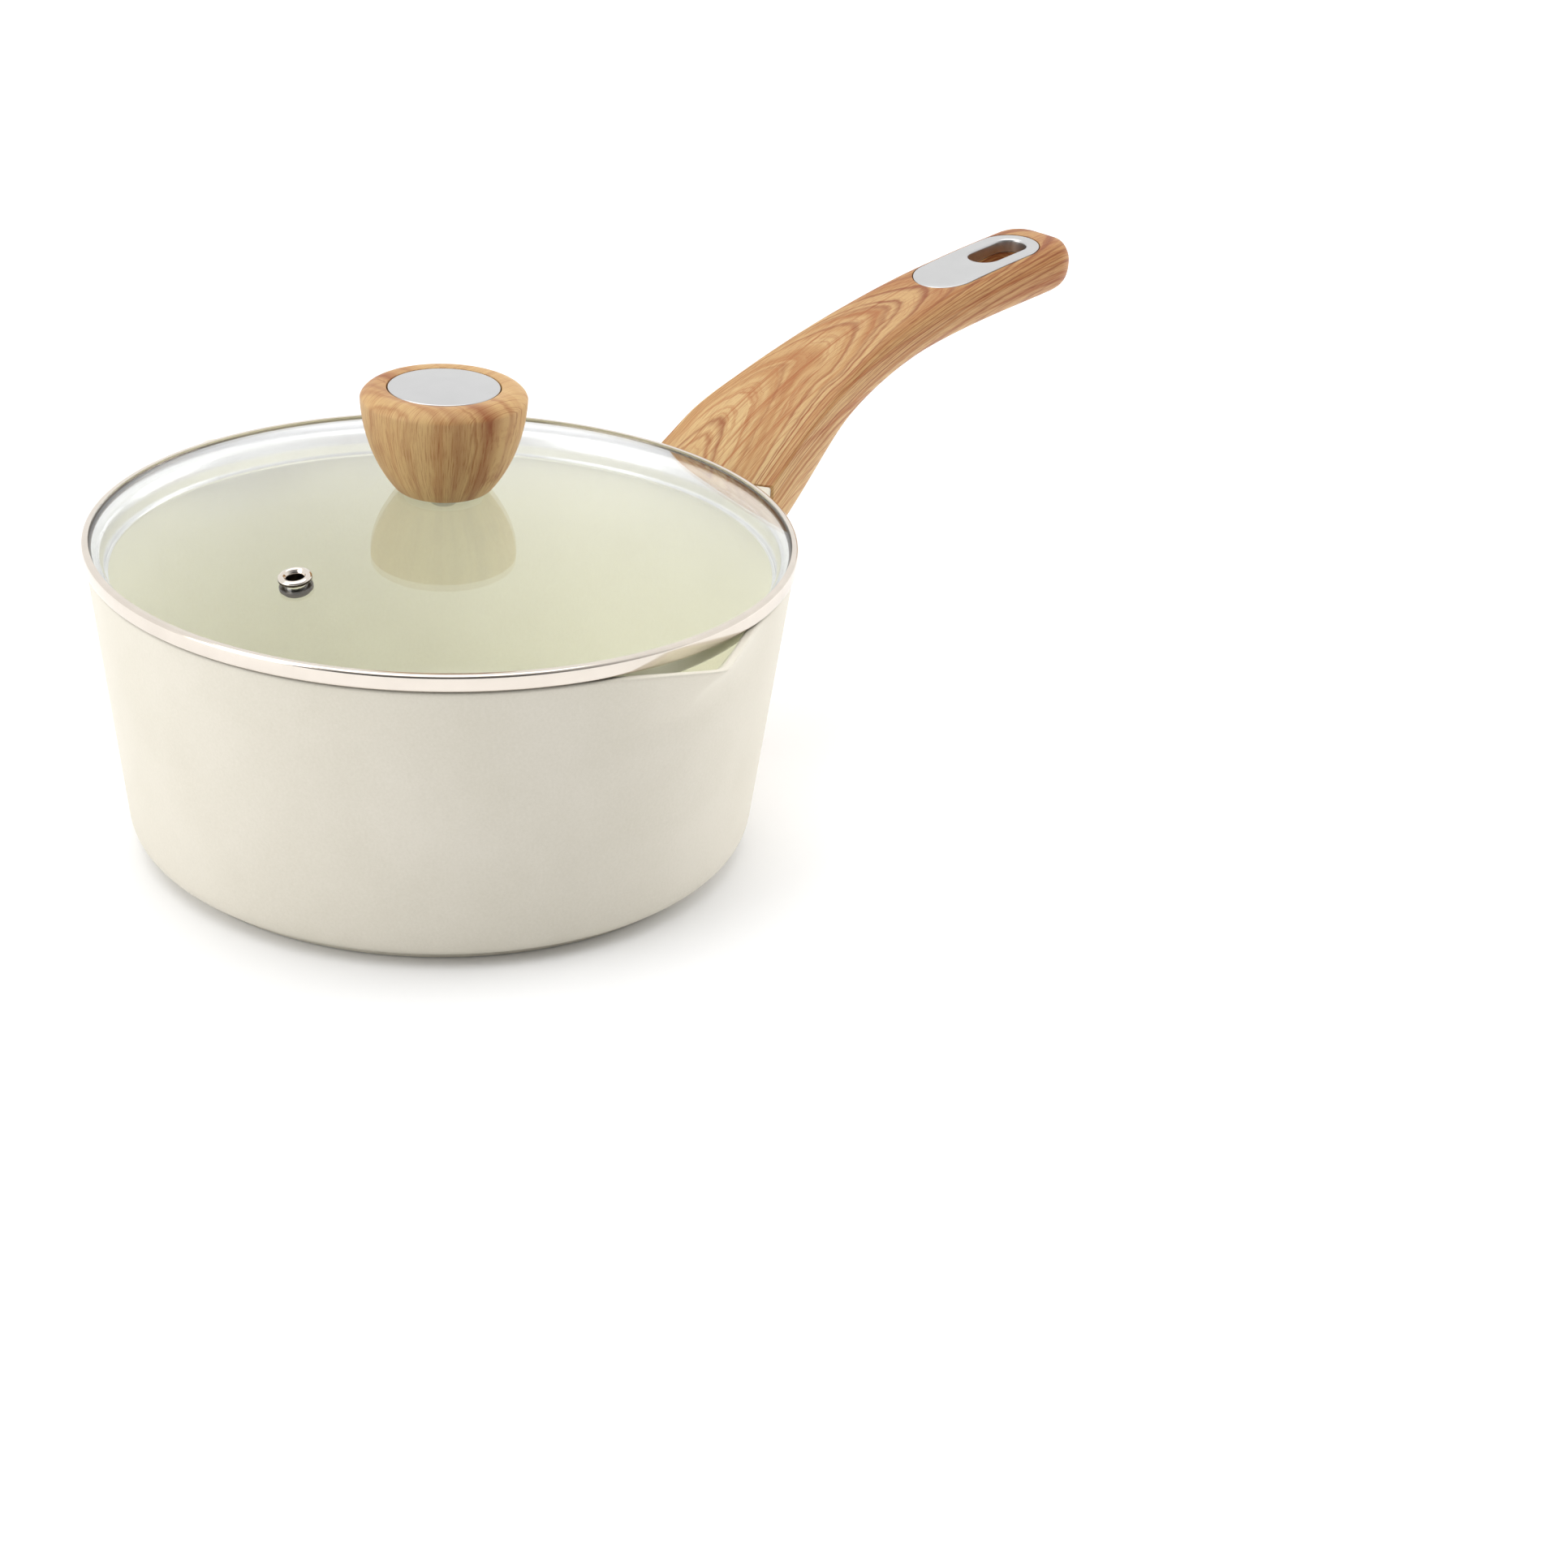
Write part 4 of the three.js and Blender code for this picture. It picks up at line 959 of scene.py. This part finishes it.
def build_vent():
    washer_top = -GLASS_THICKNESS - GAP
    washer_low = washer_top - VENT_WASHER_DEPTH
    under = washer_low - GAP
    corners = (  # radius, z, rounding
        (VENT_BORE, under - 0.3, 0.2),
        (VENT_BORE + 0.9, under - 0.7, 0.5),
        (VENT_BARREL + 1, under - 0.5, 0.3),
        (VENT_BARREL + 1, under, 0.1),
        (VENT_BARREL, under, 0.1),
        (VENT_BARREL, GAP, 0.1),
        (VENT_RADIUS, GAP, 0.3),
        (VENT_RADIUS, GAP + 1.1, 0.6),
        (VENT_RADIUS - 1.0, GAP + 1.5, 0.6),
        (VENT_BORE + 0.9, GAP + 1.4, 0.6),
        (VENT_BORE, GAP + 0.5, 0.5),
    )
    profile = rounded([c[:2] for c in corners], [c[2] for c in corners], 5, closed=True)
    eyelet = turned("vent_eyelet_fine", profile, 72, vent_frame(), ring=True)
    profile = ring_profile(VENT_BARREL + GAP, VENT_RADIUS, washer_low, washer_top, 0.3)
    washer = turned("vent_washer_fine", profile, 72, vent_frame(), ring=True)
    axis = vent_frame().to_3x3() @ Vector((0, 0, 1))
    eyelet.data.materials.append(steel)
    eyelet.data.materials.append(shaded_steel)
    # Faces not turned up along the vent's axis: painted shade.
    for face in eyelet.data.polygons:
        face.material_index = 0 if face.normal.dot(axis) > 0.25 else 1
    # The washer under the glass: painted shade all over.
    washer.data.materials.append(shaded_steel)
    for piece in (eyelet, washer):
        smooth(piece, 40)
    return eyelet, washer


KNOB_Z = node_box("knob_body")[0].z
KNOB_HEIGHT = node_box("knob_body")[1].z - KNOB_Z
KNOB_FOOT = 14.2
KNOB_RADIUS = 24.1
KNOB_TOP = 19.6
KNOB_CREASE = 27.2
GASKET_RADIUS = node_box("knob_upper_gasket")[1].x
GASKET_POCKET = node_box("knob_upper_gasket")[1].z - KNOB_Z + GAP
CAP_RADIUS = 16.2
CAP_THICKNESS = 1.6
CAP_SINK = 0.1
CAP_CROWN = 0.3
INSERT_RADIUS = 4.7
INSERT_LENGTH = 16.0
KNOB_HEAD_RADIUS = 4.0
KNOB_HEAD_DEPTH = 1.8
KNOB_SCREW_RADIUS = 2.3
GASKET_BORE = 3.0
KNOB_WASHER_BORE = 2.8
KNOB_GRAIN_TURN = math.radians(-5.6)


def knob_grain(p):
    """Streaks run straight over the top and down the sides, closing in towards the foot."""
    height = p.z - KNOB_Z
    radius = max(1.0, math.hypot(p.x, p.y))
    spread = KNOB_RADIUS / radius if height < KNOB_CREASE else 1
    x, y = p.x * spread, p.y * spread
    side = x * math.sin(KNOB_GRAIN_TURN) + y * math.cos(KNOB_GRAIN_TURN)
    ring = -x * math.cos(KNOB_GRAIN_TURN) + y * math.sin(KNOB_GRAIN_TURN)
    return (height + 0.5 * side) / 10, ring / 10, side / 10


def build_knob():
    bore = INSERT_RADIUS + GAP
    bore_end = INSERT_LENGTH + 2 * GAP
    seat = KNOB_HEIGHT - CAP_SINK - CAP_THICKNESS - GAP
    profile = [(0, bore_end), (bore, bore_end), (bore, GASKET_POCKET), (GASKET_RADIUS + GAP, GASKET_POCKET)]
    profile += [(GASKET_RADIUS + GAP, 0), (KNOB_FOOT - 0.8, 0)]
    profile += bezier((KNOB_FOOT, 0.6), (19.9, 7.2), (23.7, 17), (KNOB_RADIUS, KNOB_CREASE), 40)
    profile += bezier((KNOB_RADIUS, KNOB_CREASE), (KNOB_RADIUS - 0.1, KNOB_CREASE + 1.3),
                      (KNOB_TOP + 2.2, KNOB_HEIGHT - 0.3), (KNOB_TOP, KNOB_HEIGHT), 16)[1:]
    lip = CAP_RADIUS + GAP
    profile += [(lip + 0.4, KNOB_HEIGHT - 0.1), (lip + 0.1, KNOB_HEIGHT - 0.2), (lip, KNOB_HEIGHT - 0.5)]
    profile += [(lip, seat), (0, seat)]
    piece = turned("knob_fine", profile, 160, Matrix.Translation((0, 0, KNOB_Z * MM)))
    piece.data.materials.append(knob_wood)
    store_grain(piece, knob_grain)
    return smooth(piece, 36)


def build_knob_cap():
    top = KNOB_Z + KNOB_HEIGHT - CAP_SINK
    low = top - CAP_THICKNESS
    edge = rounded([(CAP_RADIUS, low), (CAP_RADIUS, top), (CAP_RADIUS - 4, top + 0.05)], [0, 0.5, 0], 6)
    crown = [(CAP_RADIUS * share, top + CAP_CROWN * (1 - share ** 2)) for share in (0.6, 0.4, 0.2)]
    profile = [(0, low), *edge, *crown, (0, top + CAP_CROWN)]
    piece = turned("knob_cap_fine", profile, 160)
    piece.data.materials.append(satin)
    return smooth(piece, 40)


def build_knob_insert():
    wall = KNOB_SCREW_RADIUS + GAP
    start = GASKET_POCKET + GAP
    blind_end = INSERT_LENGTH - 1.5
    groove = INSERT_RADIUS - 0.6
    profile = [(0, blind_end), (wall, blind_end), (wall, start + 0.4), (wall + 0.4, start)]
    profile += [(INSERT_RADIUS - 0.3, start), (INSERT_RADIUS, start + 0.3)]
    for i in range(4):
        z = 2.5 + 3.2 * i
        profile += [(INSERT_RADIUS, z), (groove, z + 0.5), (groove, z + 1.3), (INSERT_RADIUS, z + 1.8)]
    profile += [(INSERT_RADIUS, INSERT_LENGTH - 0.3), (INSERT_RADIUS - 0.3, INSERT_LENGTH), (0, INSERT_LENGTH)]
    piece = turned("knob_insert_fine", [(r, z + KNOB_Z) for r, z in profile], 64)
    piece.data.materials.append(brass)
    return smooth(piece)


def build_knob_screw():
    low = node_box("knob_screw")[0].z
    end = node_box("knob_screw")[1].z
    top = low + KNOB_HEAD_DEPTH
    head, shank = KNOB_HEAD_RADIUS, KNOB_SCREW_RADIUS
    outline = [(0, low), (head - 1.4, low), (head - 0.2, low + 0.7), (head, top - 0.5), (head, top),
               (shank, top), (shank, top + 1)]
    profile = rounded(outline, [0, 0.8, 0.6, 0.3, 0.2, 0.2, 0], 4)
    profile += threaded(shank, top + 1.2, end - 1, 0.8, 0.3) + [(shank - 0.8, end), (0, end)]
    piece = turned("knob_screw_fine", profile, 48)
    cut(piece, cross_cutter(4.2, 1.1, Matrix.Translation((0, 0, low * MM))))
    piece.data.materials.clear()
    piece.data.materials.append(zinc)
    return smooth(piece)


def build_knob_ring(node, bore, corner, material):
    """A gasket or washer on the knob's axis, filling its node's box."""
    low, high = node_box(node)
    piece = turned(node + "_fine", ring_profile(bore, high.x, low.z, high.z, corner), 96, ring=True)
    piece.data.materials.append(material)
    return smooth(piece)


def stand_for(piece, node, body):
    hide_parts(node)
    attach(piece, body)


stand_for(build_pot(), "pot_body", "pot")
stand_for(build_induction_disc(), "induction_disc", "pot")
stand_for(build_handle(), "handle_body", "pot")
stand_for(build_handle_screw(), "handle_screw", "pot")
stand_for(build_lock_washer(), "handle_lock_washer", "pot")
stand_for(build_plate(), "hanger_plate", "pot")
stand_for(build_lid_ring(), "lid_rim_ring", "lid")
stand_for(build_lid_glass(), "lid_glass", "lid")
eyelet_piece, washer_piece = build_vent()
stand_for(eyelet_piece, "vent_eyelet", "lid")
stand_for(washer_piece, "vent_washer", "lid")
stand_for(build_knob(), "knob_body", "lid")
stand_for(build_knob_cap(), "knob_cap_disc", "lid")
stand_for(build_knob_insert(), "knob_insert", "lid")
stand_for(build_knob_screw(), "knob_screw", "lid")
for ring_node, ring_bore, ring_corner, ring_material, ring_slot in (
    ("knob_upper_gasket", GASKET_BORE, 0.2, silicone, "clear_silicone"),
    ("knob_lower_gasket", GASKET_BORE, 0.2, silicone, "clear_silicone"),
    ("knob_washer", KNOB_WASHER_BORE, 0.25, zinc, "zinc_hardware"),
):
    stand_for(build_knob_ring(ring_node, ring_bore, ring_corner, ring_material), ring_node, "lid")


# ------------------------------------------------------------------ floor and light

def build_floor():
    reach = 20000
    low = -0.2
    corners = [(-reach, -reach, low), (reach, -reach, low), (reach, reach, low), (-reach, reach, low)]
    floor = new_piece("floor", corners, [(0, 1, 2, 3)])
    s = Shader("floor")
    tone = s.noise(s.place(), 0.002, 2)
    s.set(Base_Color=s.ramp(tone, [(0.2, (0.94, 0.945, 0.955)), (0.8, (0.955, 0.96, 0.97))]), Roughness=0.7)
    floor.data.materials.append(s.material)


def area_light(name, place, size, power, mirrored):
    """Soft box aimed at the pot. Mirrored says whether glossy reflections show it."""
    data = bpy.data.lights.new(name, "AREA")
    data.shape = "RECTANGLE"
    data.size, data.size_y = size
    data.energy = power
    light = bpy.data.objects.new(name, data)
    light.visible_glossy = mirrored
    bpy.context.scene.collection.objects.link(light)
    light.location = place
    light.rotation_mode = "QUATERNION"
    light.rotation_quaternion = (Vector((0, 0, 0.05)) - Vector(place)).to_track_quat("-Z", "Y")


build_floor()
area_light("left_box", (-1.4, 0.35, 0.7), (1.0, 1.2), 8.5, True)
area_light("right_box", (1.6, -0.5, 0.5), (0.9, 1.2), 11, False)

sky = bpy.data.lights.new("sky", "SUN")
sky.energy = 1.15
sky.angle = math.radians(60)
sky_light = bpy.data.objects.new("sky", sky)
bpy.context.scene.collection.objects.link(sky_light)
sky_light.rotation_euler = (math.radians(-5), math.radians(-6), 0)


def build_world():
    """White studio all round, darker behind the camera."""
    world = bpy.data.worlds.new("studio")
    bpy.context.scene.world = world
    world.use_nodes = True
    tree = world.node_tree
    direction = tree.nodes.new("ShaderNodeTexCoord")
    toward = tree.nodes.new("ShaderNodeVectorMath")
    toward.operation = "DOT_PRODUCT"
    toward.inputs[1].default_value = (-0.64, -0.75, 0.15)
    fade = tree.nodes.new("ShaderNodeValToRGB")
    fade.color_ramp.elements[0].position = 0.1
    fade.color_ramp.elements[0].color = (1, 1, 1, 1)
    fade.color_ramp.elements[1].position = 0.9
    fade.color_ramp.elements[1].color = (0.1, 0.1, 0.1, 1)
    background = tree.nodes["Background"]
    tree.links.new(direction.outputs["Generated"], toward.inputs[0])
    tree.links.new(toward.outputs["Value"], fade.inputs["Fac"])
    tree.links.new(fade.outputs["Color"], background.inputs["Color"])
    background.inputs["Strength"].default_value = 1.1


build_world()
bpy.context.scene.view_settings.view_transform = "Standard"
